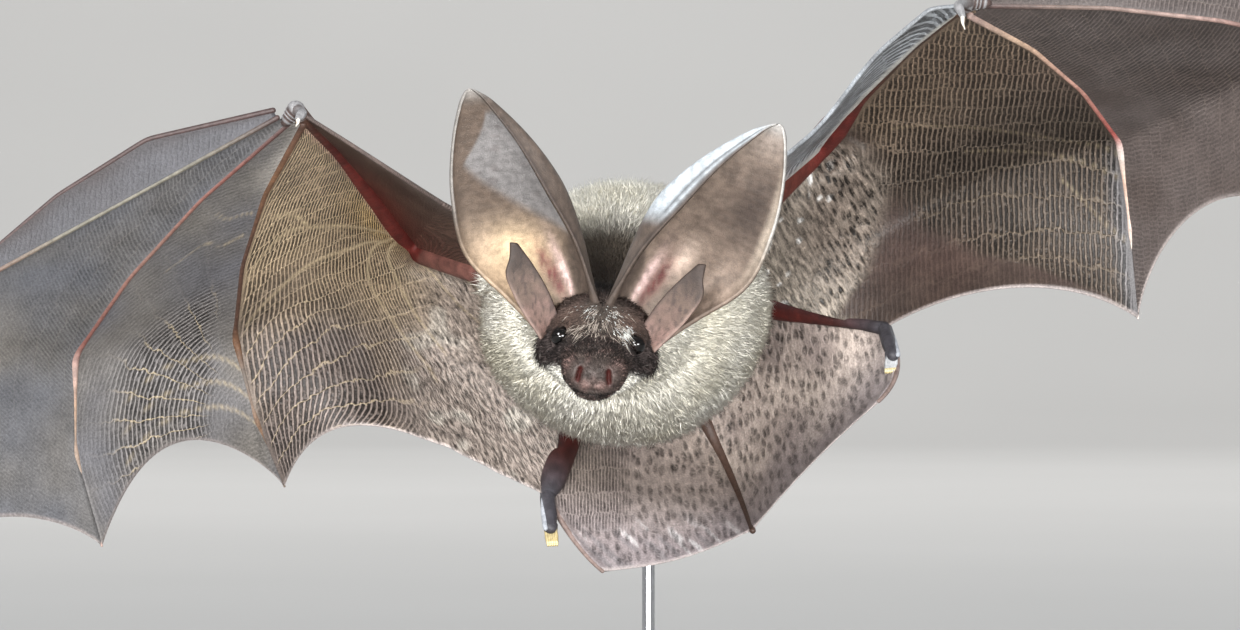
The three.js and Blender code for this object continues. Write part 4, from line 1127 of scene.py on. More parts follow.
def arm_look_left(u, v, p, across, along):
    """Brown skin with upright wrinkles below the forearm, smooth below them, puckered by the body."""
    rows = 14 * (v + 1.15 * (1 - u) * (1 - v) ** 1.6)
    to_finger = across[:, -1:] - across
    # Where the ladder ends and where the body's puckered skin ends, at shares of the way down.
    held = smoothstep(-0.04, 0.05, u - np.interp(v, [0, 0.1, 0.45, 0.71, 0.88, 0.97, 1],
                                                 [0.50, 0.48, 0.38, 0.37, 0.46, 0.70, 1.0]))
    rim = u - np.interp(v, [0, 0.38, 0.52, 0.67, 0.77, 0.85], [0.44, 0.42, 0.36, 0.27, 0.17, 0.0])
    near_body = smoothstep(0.04, -0.04, rim)
    strength = np.maximum(held * (1.05 + 0.15 * noise(p, 8.0, 41)), 0.2 * (1 - near_body))
    weave = np.stack([p[..., 0] / 0.76, rows, strength], -1)
    pucker = np.stack([*slanting(p, 0.95, 2.6), near_body * (0.12 + 0.75 * bump(rim + 0.08, 0.07))], -1)
    bare = (1 - held) * (1 - near_body)
    glint = near_body * smoothstep(0.5, 0.7, noise(p, 1.6, 46)) * smoothstep(0.1, 0.5, noise(p, 9.0, 47))
    tint = blend_in(srgb(122, 108, 96), srgb(132, 114, 96), 0.8 * held * smoothstep(0.5, 0.1, v))
    tint = tint * (1 - 0.5 * smoothstep(0.3, 0.55, v))[..., None]
    tint = layered(
        tint,
        (srgb(72, 60, 55), 0.9 * bare),
        (srgb(90, 76, 68), 0.6 * bare * smoothstep(-0.2, 0.5, noise(p, 1.0, 45))),
        (srgb(152, 142, 130), 0.9 * near_body),
        (srgb(122, 124, 130), 0.5 * smoothstep(4.0, 0.8, to_finger) * smoothstep(0.60, 0.75, v)),
        (srgb(96, 72, 66), 0.15 + 0.35 * noise(p, 11.0, 44) - 0.2 * held),
        (srgb(250, 248, 244), 0.8 * glint))
    fibres = [
        [(0.52, 0.22), (0.70, 0.46), (0.86, 0.62), (1.0, 0.68)],
        [(0.60, 0.50), (0.80, 0.66), (1.0, 0.73)],
        [(0.80, 0.72), (0.90, 0.82), (1.0, 0.86)],
    ]
    vein = 0.4 * drawn(u, v, ARM_SKIN, fibres, 0.2)
    rung = 0.02 + 0.04 * smoothstep(0.4, 0.7, v)
    return tint, dict(weave=weave, pucker=pucker, crease=0.8 * near_body, vein=vein, rung=rung)


def arm_sheet(surface, joints, pose, leg):
    p, u, v = arm_patch(joints, pose, leg)
    across, along = arc_lengths(p)
    arm_radius = np.interp(u, [0, 0.38, 0.45, 0.7, 1], [3.0, 2.3, 2.4, 1.4, 1.2])
    half = SKIN_HALF + 0.35 * arm_radius * bump(along, 1.4 * arm_radius)
    half = np.maximum(half, membrane_half(across[:, -1:] - across, 0.5))
    look = arm_look_right if pose["side"] < 0 else arm_look_left
    tint, values = look(u, v, p, across, along)
    border = smoothstep(0.5, 1.6, across[:, -1:] - across) * smoothstep(0.2, 0.8, along[-1:, :] - along)
    values["weave"][..., 2] *= border * smoothstep(arm_radius, arm_radius + 1.0, along)
    lift = 0.3 * noise(p, 2.6, 51) * np.maximum(values["pucker"][..., 2], values["crease"])
    slab(surface, p, tapered(half, along), edge_tint(tint, along), 2, lift=lift, **values)


def front_sheet(surface, joints, pose):
    """The skin in front of the elbow, from the wrist to the side of the neck."""
    arm = np.concatenate([joints["forearm"][::-1], [joints["shoulder"]]])
    edge = np.stack([joints["wrist"], np.array(pose["neck_edge"], float)])
    columns, rows = int(FRONT_SKIN[0] / CELL_ACROSS), int(FRONT_SKIN[1] / (0.5 * CELL_ALONG))
    s, t = np.meshgrid(np.linspace(0.03, 0.97, columns), np.linspace(0, 1, rows))
    inner, outer = on_path(arm, s), on_path(edge, s)
    arm_radius = np.interp(s, [0, 0.3, 0.55, 0.62, 1], [1.2, 1.4, 2.4, 2.3, 3.0])
    right = pose["side"] < 0
    if right:
        outer = outer + (inner - outer) * (0.05 * swell(s))[..., None]
    else:
        # Here the skin wraps the arm's front and stands out before it.
        arm_radius = np.interp(s, [0, 0.3, 0.5, 0.62, 1], [1.1, 1.1, 1.4, 2.3, 3.0])
        inner = inner - (arm_radius * smoothstep(1.0, 0.55, s))[..., None] * np.array([0, 1.02, 0])
        reach = 2.9 * smoothstep(0.0, 0.12, s) * (1 - smoothstep(0.25, 0.62, s))
        outer = outer + reach[..., None] * np.array([-0.69, -0.9, 0.72])
    p = mix(inner, outer, t)
    across, along = arc_lengths(p)
    half = SKIN_HALF + 0.35 * arm_radius * bump(along, 1.4 * arm_radius) + 0.15 * bump(1 - t, 0.06)
    if right:
        tint = layered(
            srgb(104, 80, 70),
            (srgb(76, 54, 48), 0.5 + 0.6 * noise(p, 4.0, 53)),
            (srgb(120, 46, 40), 0.9 * spot(s, t, (0.46, 0.12), (0.2, 0.4))),
            (srgb(204, 200, 196), 0.15 * bump(1 - t, 0.12)))
        weave = [(across + 1.2 * along) / 0.8, (along - 0.3 * across) / 4.0, 0.35 + 0 * t]
    else:
        tint = layered(
            srgb(188, 194, 200),
            (srgb(130, 132, 134), 0.4 + 0.6 * noise(p, 3.0, 53)),
            (srgb(196, 150, 142), 0.7 * smoothstep(0.68, 0.8, s)),
            (srgb(236, 232, 222), 0.8 * bump(t - 0.04, 0.06)))
        strength = smoothstep(0.06, 0.16, t) * smoothstep(1.0, 0.92, t)
        x, y, z = np.moveaxis(p, -1, 0)
        weave = [(0.82 * z - 0.57 * x + 0.4 * y) / 0.62, (0.82 * x + 0.57 * z) / 4.4, 0.8 * strength]
    slab(surface, p, half, tint, 2, weave=np.stack(weave, -1))


def fingers(surface, joints, side):
    """Four long fingers; each list gives (share of the length, radius), thick at knuckle and joints."""
    radii = {
        2: [(0, 0.42), (0.5, 0.36), (1, 0.25)],
        3: [(0, 0.42), (0.2, 0.30), (0.48, 0.36), (0.53, 0.55), (0.58, 0.32), (0.70, 0.28), (0.73, 0.42),
            (0.77, 0.25), (1, 0.18)],
        4: [(0, 0.48), (0.2, 0.40), (0.58, 0.42), (0.64, 0.60), (0.70, 0.34), (0.79, 0.28), (0.82, 0.42),
            (0.86, 0.25), (1, 0.18)],
        5: [(0, 0.66), (0.12, 0.58), (0.3, 0.42), (0.60, 0.40), (0.655, 0.66), (0.71, 0.40), (0.79, 0.34),
            (0.82, 0.46), (0.86, 0.28), (1, 0.18)],
    }
    dark, pale = srgb(78, 60, 58), srgb(124, 119, 106)
    red, orange, pink = srgb(126, 80, 72), srgb(134, 102, 92), srgb(194, 166, 156)
    amber, brown = srgb(122, 88, 64), srgb(92, 66, 54)
    # Colours at the shares of the length given in the same row.
    places = [0, 0.15, 0.35, 0.60, 0.66, 0.72, 0.85, 1.0]
    if side < 0:
        rows = {2: [dark] * 8, 3: [dark, pale, pale, red, red, dark, dark, dark],
                4: [dark, red, orange, red, pink, srgb(176, 146, 124), srgb(160, 142, 128), pink],
                5: [brown, amber, brown, brown, amber, srgb(118, 108, 100), srgb(142, 112, 90),
                    srgb(150, 136, 124)]}
    else:
        white = srgb(226, 214, 206)
        rows = {2: [dark] * 8, 3: [pale, white, pink, pink, red, pink, pink, pink],
                4: [dark, srgb(120, 102, 94), pink * 0.7, red, red, pink, pink, pink],
                5: [pink * 0.8, srgb(206, 176, 150), srgb(200, 156, 140), srgb(186, 96, 90), white,
                    srgb(214, 180, 160), srgb(226, 206, 194), white]}
    for digit, path in joints["fingers"].items():
        tint = colour_stops(np.linspace(0, 1, len(path)), places, np.array(rows[digit]))
        tube(surface, path, radii[digit], tint, 12, material=3)


def wrist_and_thumb(surface, claws, joints, side):
    wrist = joints["wrist"]
    forward = direction((-115 if side > 0 else -65, -10))
    out = unit(wrist - joints["elbow"])
    dark, pale = srgb(86, 70, 66), srgb(164, 164, 166)
    lump = np.array([wrist - 2.0 * out, wrist, wrist + 2.4 * unit(joints["knuckle"][4] - wrist)])
    lump = soften(lump, 4, 40)
    t = np.linspace(0, 1, len(lump))
    folds = 0.06 * np.sin(t * 34 + 2 * np.sin(t * 9))
    radii = radii_along(lump, [(0, 1.1), (0.45, 1.4), (1, 0.8)]) + folds
    # Painted light and shade: the wrist's folds are painted pale on their crests and dark between them.
    tube(surface, lump, radii, mix(dark, pale, 0.8 * smoothstep(-0.02, 0.06, folds)), 18, material=3)
    start = wrist + forward * 0.8
    reach = 5.0 if side > 0 else 2.8
    middle = wrist + forward * reach
    end = middle + np.array([side * 0.6, -1.8, -0.32 * reach])
    line = soften(np.array([start, middle, end]), 8, 30)
    t = np.linspace(0, 1, len(line))
    tint = mix(dark, pale, 0.25 + 0.6 * smoothstep(0.1, 0.6, t))
    tube(surface, line, [(0, 0.95), (0.4, 0.65), (0.75, 0.7), (1, 0.45)], tint, 14, material=3)
    tip = end + np.array([side * 0.3, -0.5, -0.4 * reach])
    bend = (end + tip) / 2 + forward * 0.5
    claw = soften(np.array([end - 0.3 * unit(end - middle), end, bend, tip]), 8, 24)
    tube(claws, claw, [(0, 0.38), (0.5, 0.27), (1, 0.05)], srgb(190, 184, 172), 10)


# ------------------------------------------------------------------ legs, feet and tail membrane


def foot(surface, claws, leg):
    heading = direction(leg["pose"]["foot"])
    side = leg["pose"]["side"]
    start = leg["ankle"] + 0.2 * heading
    across = np.array([side, 0, 0], float)
    across = unit(across - heading * (across @ heading))
    under = unit(np.cross(heading, across) * side)
    pale = srgb(196, 178, 128) if side < 0 else srgb(206, 208, 210)
    hang = unit(np.array([0.12 * -side, -0.35, -1.0]))
    sole = straight(start, leg["ball"], 16)
    tube(surface, sole, [(0, 1.15), (0.6, 1.2), (1, 0.95)], FOOT_DARK, 16, material=3)
    edge = sole + across * 0.75 + np.array([0, -0.7, 0])
    tube(surface, edge, [(0, 0.2), (0.5, 0.5), (1, 0.4)], srgb(186, 190, 198), 12, material=3)
    for k in range(-2, 3):
        root = leg["ball"] + across * k * 0.38 - heading * 0.6
        middle = root + 0.5 * BONE["toe"] * hang - across * k * 0.04
        end = middle + 0.2 * BONE["toe"] * hang + under * 0.3
        line = soften(np.array([root, middle, end]), 5, 20)
        t = np.linspace(0, 1, len(line))
        tint = mix(FOOT_DARK, pale, smoothstep(0.1, 0.5, t))
        tube(surface, line, [(0, 0.4), (0.35, 0.28), (0.6, 0.34), (1, 0.24)], tint, 10, material=3)
        tip = end + hang * 0.7 + under * 0.5
        claw = soften(np.array([end - 0.2 * hang, end + 0.4 * hang, tip]), 5, 14)
        tube(claws, claw, [(0, 0.28), (0.5, 0.18), (1, 0.03)], srgb(186, 172, 130), 8)


def tail_sheet(surface, leg):
    """Half of the tail membrane: pinkish skin with rows of dark dimples, ribbed by the right leg."""
    spur = leg["calcar"]
    outer = soften(np.array([leg["hip"], leg["knee"], leg["ankle"], spur[10], spur[20], spur[-1]]), 2)
    columns, rows = cells(TAIL_SKIN)
    s, t = np.meshgrid(np.linspace(0, 1, columns), np.linspace(0, 1, rows))
    tail = bezier(TAIL, np.linspace(0, 1, 80))
    p = mix(on_path(outer, t), on_path(tail, 0.985 * t), s)
    p[..., 1] += 1.5 * swell(s) * swell(t)
    # The free edge is not quite straight.
    bow = np.array([0.3, 0, -1.3]) if leg["pose"]["side"] < 0 else np.array([-0.5, 0, 0.35])
    p = p + (swell(s) * smoothstep(0.55, 1.0, t))[..., None] * bow
    across, along = arc_lengths(p)
    gap = across[:, -1:] - across
    half = np.maximum(membrane_half(across, 0.7), membrane_half(gap, 0.7))
    calm = smoothstep(0.5, 1.6, across) * smoothstep(0.5, 1.6, gap)
    calm = calm * smoothstep(0.3, 1.5, along[-1:, :] - along)
    x, z = p[..., 0], p[..., 2]
    ribbed = smoothstep(3, -1, x) * smoothstep(-18, -21, z) * smoothstep(-34, -31, z)
    weave = np.stack([x / 0.5, z / 3.4, 0.6 * ribbed * calm], -1)
    depth = 0.68 * (1 - 0.75 * ribbed) * calm * (1 - 0.4 * t)
    pucker = np.stack([(x + 0.12 * z) / 1.1, z / 2.3, depth], -1)
    # Painted folds at the lobe's tip, drawn only in colour: grey painted shade on one side of each fold and
    # white painted highlights on the other.
    folds = noise(np.stack([(x + 1.2 * z) / 1.1, 0 * x, (x - z) / 7.0], -1), 1.0, 74)
    tip = smoothstep(-30, -35, z)
    colour = srgb(166, 152, 142) if leg["pose"]["side"] < 0 else srgb(216, 200, 188)
    tint = layered(
        colour * (1 - 0.2 * ribbed)[..., None],
        (srgb(158, 144, 138), 0.4 + 0.6 * noise(p, 6.0, 71)),
        (srgb(182, 172, 178), 0.6 * smoothstep(0.6, 1.0, t)),
        (srgb(150, 144, 146), 0.7 * tip * smoothstep(0.0, 0.5, folds)),
        (srgb(240, 236, 236), 0.8 * tip * smoothstep(-0.35, -0.6, folds)))
    lift = 0.14 * noise(p, 2.0, 73) * calm
    slab(surface, p, tapered(half, along), edge_tint(tint, along), 2, lift=lift, weave=weave, pucker=pucker,
         crease=0.5 * depth)


def tail_and_spurs(surface, legs):
    tail = bezier(TAIL, np.linspace(0, 1, 70))
    tube(surface, tail, [(0, 1.5), (0.4, 1.15), (0.7, 0.9), (1, 0.5)], srgb(94, 72, 62), 14, material=3)
    for leg in legs.values():
        tube(surface, leg["calcar"], [(0, 0.5), (1, 0.3)], TAIL_PINK * 0.8, 10, material=3)


# ------------------------------------------------------------------ materials


class Nodes:
    """A material's shader nodes, with short ways to add and join them."""

    def __init__(self, name):
        self.material = bpy.data.materials.new(name)
        self.material.use_nodes = True
        self.tree = self.material.node_tree
        self.shader = self.tree.nodes["Principled BSDF"]

    def add(self, kind, **settings):
        node = self.tree.nodes.new(kind)
        for key, value in settings.items():
            setattr(node, key, value)
        return node

    def feed(self, slot, value):
        """Puts a number or a colour on a socket, or joins another node's output to it."""
        if isinstance(value, (int, float)):
            slot.default_value = value
        elif isinstance(value, (tuple, np.ndarray)):
            slot.default_value = (*value, 1)
        else:
            self.tree.links.new(value, slot)

    def finished(self, sockets):
        """The material, once the shader's sockets have their numbers, colours or joins."""
        for name, value in sockets.items():
            self.feed(self.shader.inputs[name], value)
        return self.material

    def made(self, kind, sockets, output=0, **settings):
        """The output of a new node whose sockets are given by name or number."""
        node = self.add(kind, **settings)
        for name, value in sockets.items():
            self.feed(node.inputs[name], value)
        return node.outputs[output]

    def attribute(self, name, output="Vector"):
        return self.made("ShaderNodeAttribute", {}, output, attribute_name=name)

    def tint(self):
        return self.attribute("tint", "Color")

    def place(self):
        return self.made("ShaderNodeTexCoord", {}, "Object")

    def noise(self, vector, scale, detail=2):
        sockets = {"Vector": vector, "Scale": scale, "Detail": detail, "Roughness": 0.55}
        return self.made("ShaderNodeTexNoise", sockets, "Fac")

    def math(self, operation, *values):
        return self.made("ShaderNodeMath", dict(enumerate(values)), operation=operation)

    def plus(self, first, *others):
        for other in others:
            first = self.math("ADD", first, other)
        return first

    def times(self, first, *others):
        for other in others:
            first = self.math("MULTIPLY", first, other)
        return first

    def minus(self, a, b):
        return self.math("SUBTRACT", a, b)

    def ramp(self, value, low, high, to_low=0.0, to_high=1.0):
        sockets = {"Value": value, "From Min": low, "From Max": high, "To Min": to_low, "To Max": to_high}
        return self.made("ShaderNodeMapRange", sockets, interpolation_type="SMOOTHSTEP")

    def mix(self, a, b, fraction):
        return self.made("ShaderNodeMix", {0: fraction, 6: a, 7: b}, 2, data_type="RGBA")

    def scaled(self, colour, factor):
        """The colour times a number that varies over the surface."""
        return self.made("ShaderNodeVectorMath", {0: colour, "Scale": factor}, operation="SCALE")

    def bump(self, height, distance, strength):
        sockets = {"Height": height, "Distance": distance * METRES, "Strength": strength}
        return self.made("ShaderNodeBump", sockets)

    def split(self, vector):
        node = self.add("ShaderNodeSeparateXYZ")
        self.feed(node.inputs[0], vector)
        return node.outputs

    def join(self, *values):
        return self.made("ShaderNodeCombineXYZ", dict(enumerate(values)))


def skin_material(name, mottle, pore, roughness, share=1.0):
    """Bare or short-haired skin: a share of the painted tint with mottling and fine pores."""
    n = Nodes(name)
    place = n.place()
    broad = n.noise(place, 900.0)
    fine = n.noise(place, 1 / (pore * METRES))
    factor = n.plus(n.ramp(broad, 0.3, 0.7, 1 - mottle, 1 + mottle), n.ramp(fine, 0.3, 0.7, -0.12, 0.12))
    return n.finished({"Base Color": n.scaled(n.tint(), n.times(factor, share)),
                       "Normal": n.bump(fine, 0.08, 0.8),
                       "Roughness": roughness, "Specular IOR Level": 0.35})


def membrane_material(name):
    """Wing skin: a ladder of dark wrinkles between pale rungs, dimples, elastic fibres and fine grain."""
    n = Nodes(name)
    place = n.place()
    broad = n.noise(place, 220.0)
    medium = n.noise(place, 1000.0)
    fine = n.noise(place, 3200.0)

    # Each row of the ladder starts at a place of its own, and its wrinkles waver.
    x, y, strength = n.split(n.attribute("weave"))
    y = n.plus(y, n.ramp(broad, 0.2, 0.8, -0.15, 0.15), n.ramp(medium, 0.3, 0.7, -0.05, 0.05))
    shift = n.made("ShaderNodeTexWhiteNoise", {"W": n.math("FLOOR", y)}, "Value", noise_dimensions="1D")
    x = n.plus(x, n.times(shift, 3.0), n.ramp(broad, 0.2, 0.8, -0.2, 0.2),
               n.ramp(medium, 0.2, 0.8, -0.08, 0.08))
    from_rung = n.math("PINGPONG", y, 0.5)
    from_ridge = n.math("PINGPONG", x, 0.5)
    groove = n.times(n.ramp(from_ridge, 0.13, 0.29), n.ramp(from_rung, 0.0, 0.06, 0.3, 1.0),
                     n.ramp(medium, 0.30, 0.5, 0.5, 1.0))
    rung = n.times(n.ramp(from_rung, 0.05, 0.015), n.attribute("rung", "Fac"))

    px, py, depth = n.split(n.attribute("pucker"))
    wavy = n.join(n.plus(px, n.ramp(broad, 0.2, 0.8, -0.3, 0.3)), py)
    cell = n.made("ShaderNodeTexVoronoi", {"Vector": wavy, "Scale": 1.0, "Randomness": 0.75},
                  "Distance", voronoi_dimensions="2D", feature="F1")
    pit = n.times(n.ramp(cell, 0.46, 0.16), n.ramp(medium, 0.32, 0.5, 0.3, 1.0))
    crease = n.ramp(n.noise(n.join(px, n.times(py, 0.8)), 1.6), 0.34, 0.66, -0.5, 0.5)
    crease = n.times(crease, n.attribute("crease", "Fac"))

    # Grooves and pits darken, the ridges beside them catch the light, and here and there they shine.
    relief = n.minus(n.times(strength, n.minus(0.42, groove)), n.times(depth, n.minus(pit, 0.3)))
    relief = n.plus(relief, crease)
    shine = n.times(n.ramp(medium, 0.58, 0.7, 0.0, 1.8), n.math("MAXIMUM", relief, 0.0))
    light = n.plus(n.ramp(broad, 0.25, 0.75, 0.86, 1.14), n.times(relief, 1.25), shine,
                   n.ramp(fine, 0.25, 0.75, -0.25, 0.25))
    light = n.math("MAXIMUM", light, 0.12)
    vein = n.math("MAXIMUM", n.attribute("vein", "Fac"), n.times(rung, strength))
    vein = n.times(vein, n.ramp(medium, 0.3, 0.6, 0.55, 0.9))
    skin = n.scaled(n.tint(), n.times(light, SKIN_SHARE))
    height = n.plus(relief, n.times(vein, 0.6), n.times(fine, 0.3))
    return n.finished({"Base Color": n.mix(skin, SKIN_SHARE * srgb(238, 216, 176), vein),
                       "Normal": n.bump(height, 0.25, 0.9),
                       "Roughness": 0.5, "Specular IOR Level": 0.3})


def coat_material(name):
    n = Nodes(name)
    strand = n.noise(n.place(), 700.0)
    return n.finished({"Base Color": n.scaled(n.tint(), n.ramp(strand, 0.25, 0.75, 0.86, 1.12)),
                       "Roughness": 0.8, "Specular IOR Level": 0.2})


def eye_material():
    n = Nodes("wet_eye")
    mottled = n.ramp(n.noise(n.place(), 1800.0, 3), 0.4, 0.75)
    return n.finished({"Base Color": n.mix((0.002, 0.002, 0.002), (0.010, 0.007, 0.006), mottled),
                       "Roughness": 0.09, "Specular IOR Level": 0.35})


def horn_material():
    n = Nodes("claw_horn")
    grain = n.noise(n.place(), 3000.0)
    return n.finished({"Base Color": n.scaled(n.tint(), n.ramp(grain, 0.3, 0.7, 0.75, 1.15)),
                       "Roughness": 0.3})


def wood_material():
    """Dark stained wood with rings round one axis and long pores."""
    n = Nodes("stand_dark_wood")
    x, y, z = n.split(n.place())
    stretched = n.join(x, n.times(y, 0.08), z)
    bend = n.noise(stretched, 40.0, 3)
    rings = n.math("SINE", n.plus(n.times(x, 900.0), n.times(bend, 22.0)))
    pores = n.noise(stretched, 1400.0)
    colour = n.mix((0.030, 0.019, 0.013), (0.075, 0.045, 0.028), n.ramp(rings, -1, 1))
    return n.finished({"Base Color": n.scaled(colour, n.ramp(pores, 0.35, 0.6, 0.7, 1.1)),
                       "Normal": n.bump(pores, 0.05, 0.4),
                       "Roughness": n.ramp(pores, 0.3, 0.7, 0.28, 0.42),
                       "Coat Weight": 0.3, "Coat Roughness": 0.15})


def steel_material():
    n = Nodes("stand_brushed_steel")
    x, y, z = n.split(n.place())
    brushed = n.noise(n.join(x, y, n.times(z, 0.06)), 6000.0)
    return n.finished({"Base Color": n.mix((0.42, 0.43, 0.45), (0.62, 0.63, 0.65), brushed),
                       "Roughness": n.ramp(brushed, 0.3, 0.7, 0.22, 0.36), "Metallic": 1.0})


def paper_material():
    """The studio's pale floor and backdrop."""
    n = Nodes("studio_paper")
    cloud = n.noise(n.place(), 3.0)
    return n.finished({"Base Color": n.mix((0.39, 0.385, 0.375), (0.43, 0.425, 0.415), cloud),
                       "Roughness": 0.9})


# ------------------------------------------------------------------ coat


def unwrap(p, middle, span):
    """A place on the body's own unwrap: round its length, and along it."""
    h = p - middle
    angle = np.arctan2(h[:, 0], -h[:, 2]) / (2 * np.pi) + 0.5
    along = (p[:, 1] - span[0]) / (span[1] - span[0])
    return np.stack([0.01 + 0.97 * angle, 0.01 + 0.97 * np.clip(along, 0, 1)], 1)


def quads_to_triangles(quads, triangles):
    return np.concatenate([quads[:, [0, 1, 2]], quads[:, [0, 2, 3]], triangles])


def scatter(core, wanted, count):
    """Evenly random places on the part of the core whose faces are wanted, with their normals."""
    p, normals = core["p"], core["normals"]
    triangles = core["triangles"][wanted(p[core["triangles"]].mean(1))]
    a, b, c = (p[triangles[:, k]] for k in range(3))
    reach = np.cumsum(np.linalg.norm(np.cross(b - a, c - a), axis=1))
    # One place in each of count equal steps of area keeps the spread even.
    pick = np.searchsorted(reach, (np.arange(count) + rng.random(count)) / count * reach[-1])
    pick = np.minimum(pick, len(triangles) - 1)
    r, q = np.sqrt(rng.random(count)), rng.random(count)
    w = np.stack([1 - r, r * (1 - q), r * q], 1)
    place = sum(p[triangles[pick, k]] * w[:, k:k + 1] for k in range(3))
    normal = unit(sum(normals[triangles[pick, k]] * w[:, k:k + 1] for k in range(3)))
    return place, normal


def near_any(p, others, reach):
    """Whether each point lies within about a reach of any of the others, by cells of that size."""
    def key(cells):
        return (cells[..., 0] * 4096 + cells[..., 1]) * 4096 + cells[..., 2]

    steps = np.array(list(np.ndindex(3, 3, 3))) - 1
    filled = np.floor(others / reach).astype(np.int64) + 2048
    filled = np.unique(key(filled[:, None] + steps))
    return np.isin(key(np.floor(p / reach).astype(np.int64) + 2048), filled)


class Fur:
    """Tufts to be made: where they stand, how they lie, their sizes and their colours."""

    def __init__(self, roots, normals, lie, length, radius, tilt, droop, tint, uv):
        tangent = unit(lie - normals * np.sum(lie * normals, axis=1, keepdims=True))
        first = unit(tangent * np.cos(tilt)[:, None] + normals * np.sin(tilt)[:, None])
        second = unit(tangent * np.cos(droop)[:, None] + normals * np.sin(droop)[:, None])
        self.root = roots - 0.15 * normals
        self.middle = roots + first * (0.45 * length)[:, None]
        self.tip = self.middle + second * (0.55 * length)[:, None]
        self.side = unit(np.cross(normals, tangent))
        self.up = np.cross(self.side, first)
        self.radius, self.tint, self.uv = radius, tint, uv

    def keep(self, chosen):
        for name, value in vars(self).items():
            setattr(self, name, value[chosen])

    def clear_of(self, others, reach):
        """Drops the tufts that would touch the other points."""
        touching = near_any(self.root, others, reach)
        for start, end in ((self.root, self.middle), (self.middle, self.tip)):
            for share in (0.33, 0.67, 1.0):
                touching |= near_any(start + (end - start) * share, others, reach)
        self.keep(~touching)

    def build(self, name, chosen, material):
        """One mesh of the chosen tufts: each a bent spindle of six triangles."""
        count = len(chosen)
        turn = rng.random((count, 1)) * 2 * np.pi
        corner = 2 * np.pi * np.arange(3) / 3 + turn
        ring = self.side[chosen][:, None] * np.cos(corner)[..., None]
        ring = ring + self.up[chosen][:, None] * np.sin(corner)[..., None]
        waist = self.middle[chosen][:, None] + ring * self.radius[chosen][:, None, None]
        points = np.concatenate([self.root[chosen][:, None], waist, self.tip[chosen][:, None]], axis=1)
        faces = np.array([[0, 2, 1], [0, 3, 2], [0, 1, 3], [4, 1, 2], [4, 2, 3], [4, 3, 1]])
        faces = (faces + (np.arange(count) * 5)[:, None, None]).reshape(-1, 3)
        mesh = new_mesh(name, points.reshape(-1, 3), [faces])
        level = np.array([0.9, 1.0, 1.0, 1.0, 1.06])
        add_value(mesh, "tint", "FLOAT_COLOR", (self.tint[chosen][:, None] * level[:, None]).reshape(-1, 3))
        patch = np.array([[0.5, 0], [0, 0.5], [0.5, 0.6], [1, 0.5], [0.5, 1]]) * UV_PATCH
        uvs = (self.uv[chosen][:, None] + patch).reshape(-1, 2)
        layer = mesh.uv_layers.new(name="OFBake")
        layer.data.foreach_set("uv", uvs[faces.ravel()].astype(np.float32).ravel())
        return new_object(name, mesh, [material])


def body_coat(core, material):
    """The trunk's and neck's fur, lying tailward, in pieces by sector."""
    def wanted(m):
        limb = np.min([line_distance(m, line)[0] for line in core["limbs"]], axis=0)
        h = to_head(m)
        behind_face = h[:, 1] > np.where(h[:, 2] > 1.0, 5.0, 2.2)
        return behind_face & (m[:, 1] < 73) & ((limb > 3.6) | (outside_trunk(m) < 0.3))

    count = int(BODY_TUFTS * COAT_SHARE)
    roots, n = scatter(core, wanted, count)
    x, y = roots.T[:2]
    clump = np.stack([noise(roots, 2.2, 81), 0 * x, noise(roots, 2.2, 82)], 1)
    lie = np.stack([0 * x, 1 + 0 * x, -0.15 + 0 * x], 1) + 0.4 * clump + 0.35 * rng.normal(size=(count, 3))
    outward = roots - (EYE_MIDDLE + np.array([0, 6, 0]))
    outward[:, 1] = 0
    lie = lie + unit(outward) * (0.4 * smoothstep(62, 50, y) + 0.5 * smoothstep(38, 22, y))[:, None]
    length = (2.5 + 1.2 * smoothstep(12, 30, y)) * (0.7 + 0.5 * rng.random(count))
    length *= 0.5 + 0.5 * smoothstep(8, 22, y)
    radius = 0.054 + 0.032 * rng.random(count)
    tilt = np.radians(26 + 9 * rng.normal(size=count))
    droop = np.radians(15 + 12 * rng.normal(size=count))
    tint = body_tint(roots)
    h = to_head(roots)
    face = (1 - smoothstep(6.0, 9.0, h[:, 1]))[:, None]
    tint = tint + (face_tint(h) - tint) * face
    tint = tint * (0.93 + 0.14 * rng.random(count))[:, None]
    fur = Fur(roots, n, lie, length, radius, tilt, droop, tint, unwrap(roots, np.zeros(3), (0, 75)))
    fur.clear_of(core["ears"], BODY_CLEARANCE)
    names = ["back_right", "flank_right", "belly_right", "belly_left", "flank_left", "back_left"]
    angle = np.arctan2(-fur.root[:, 0], -fur.root[:, 2])
    order = np.argsort(-angle, kind="stable")
    return [fur.build(f"coat_{name}", chosen, material)
            for name, chosen in zip(names, np.array_split(order, len(names)))]


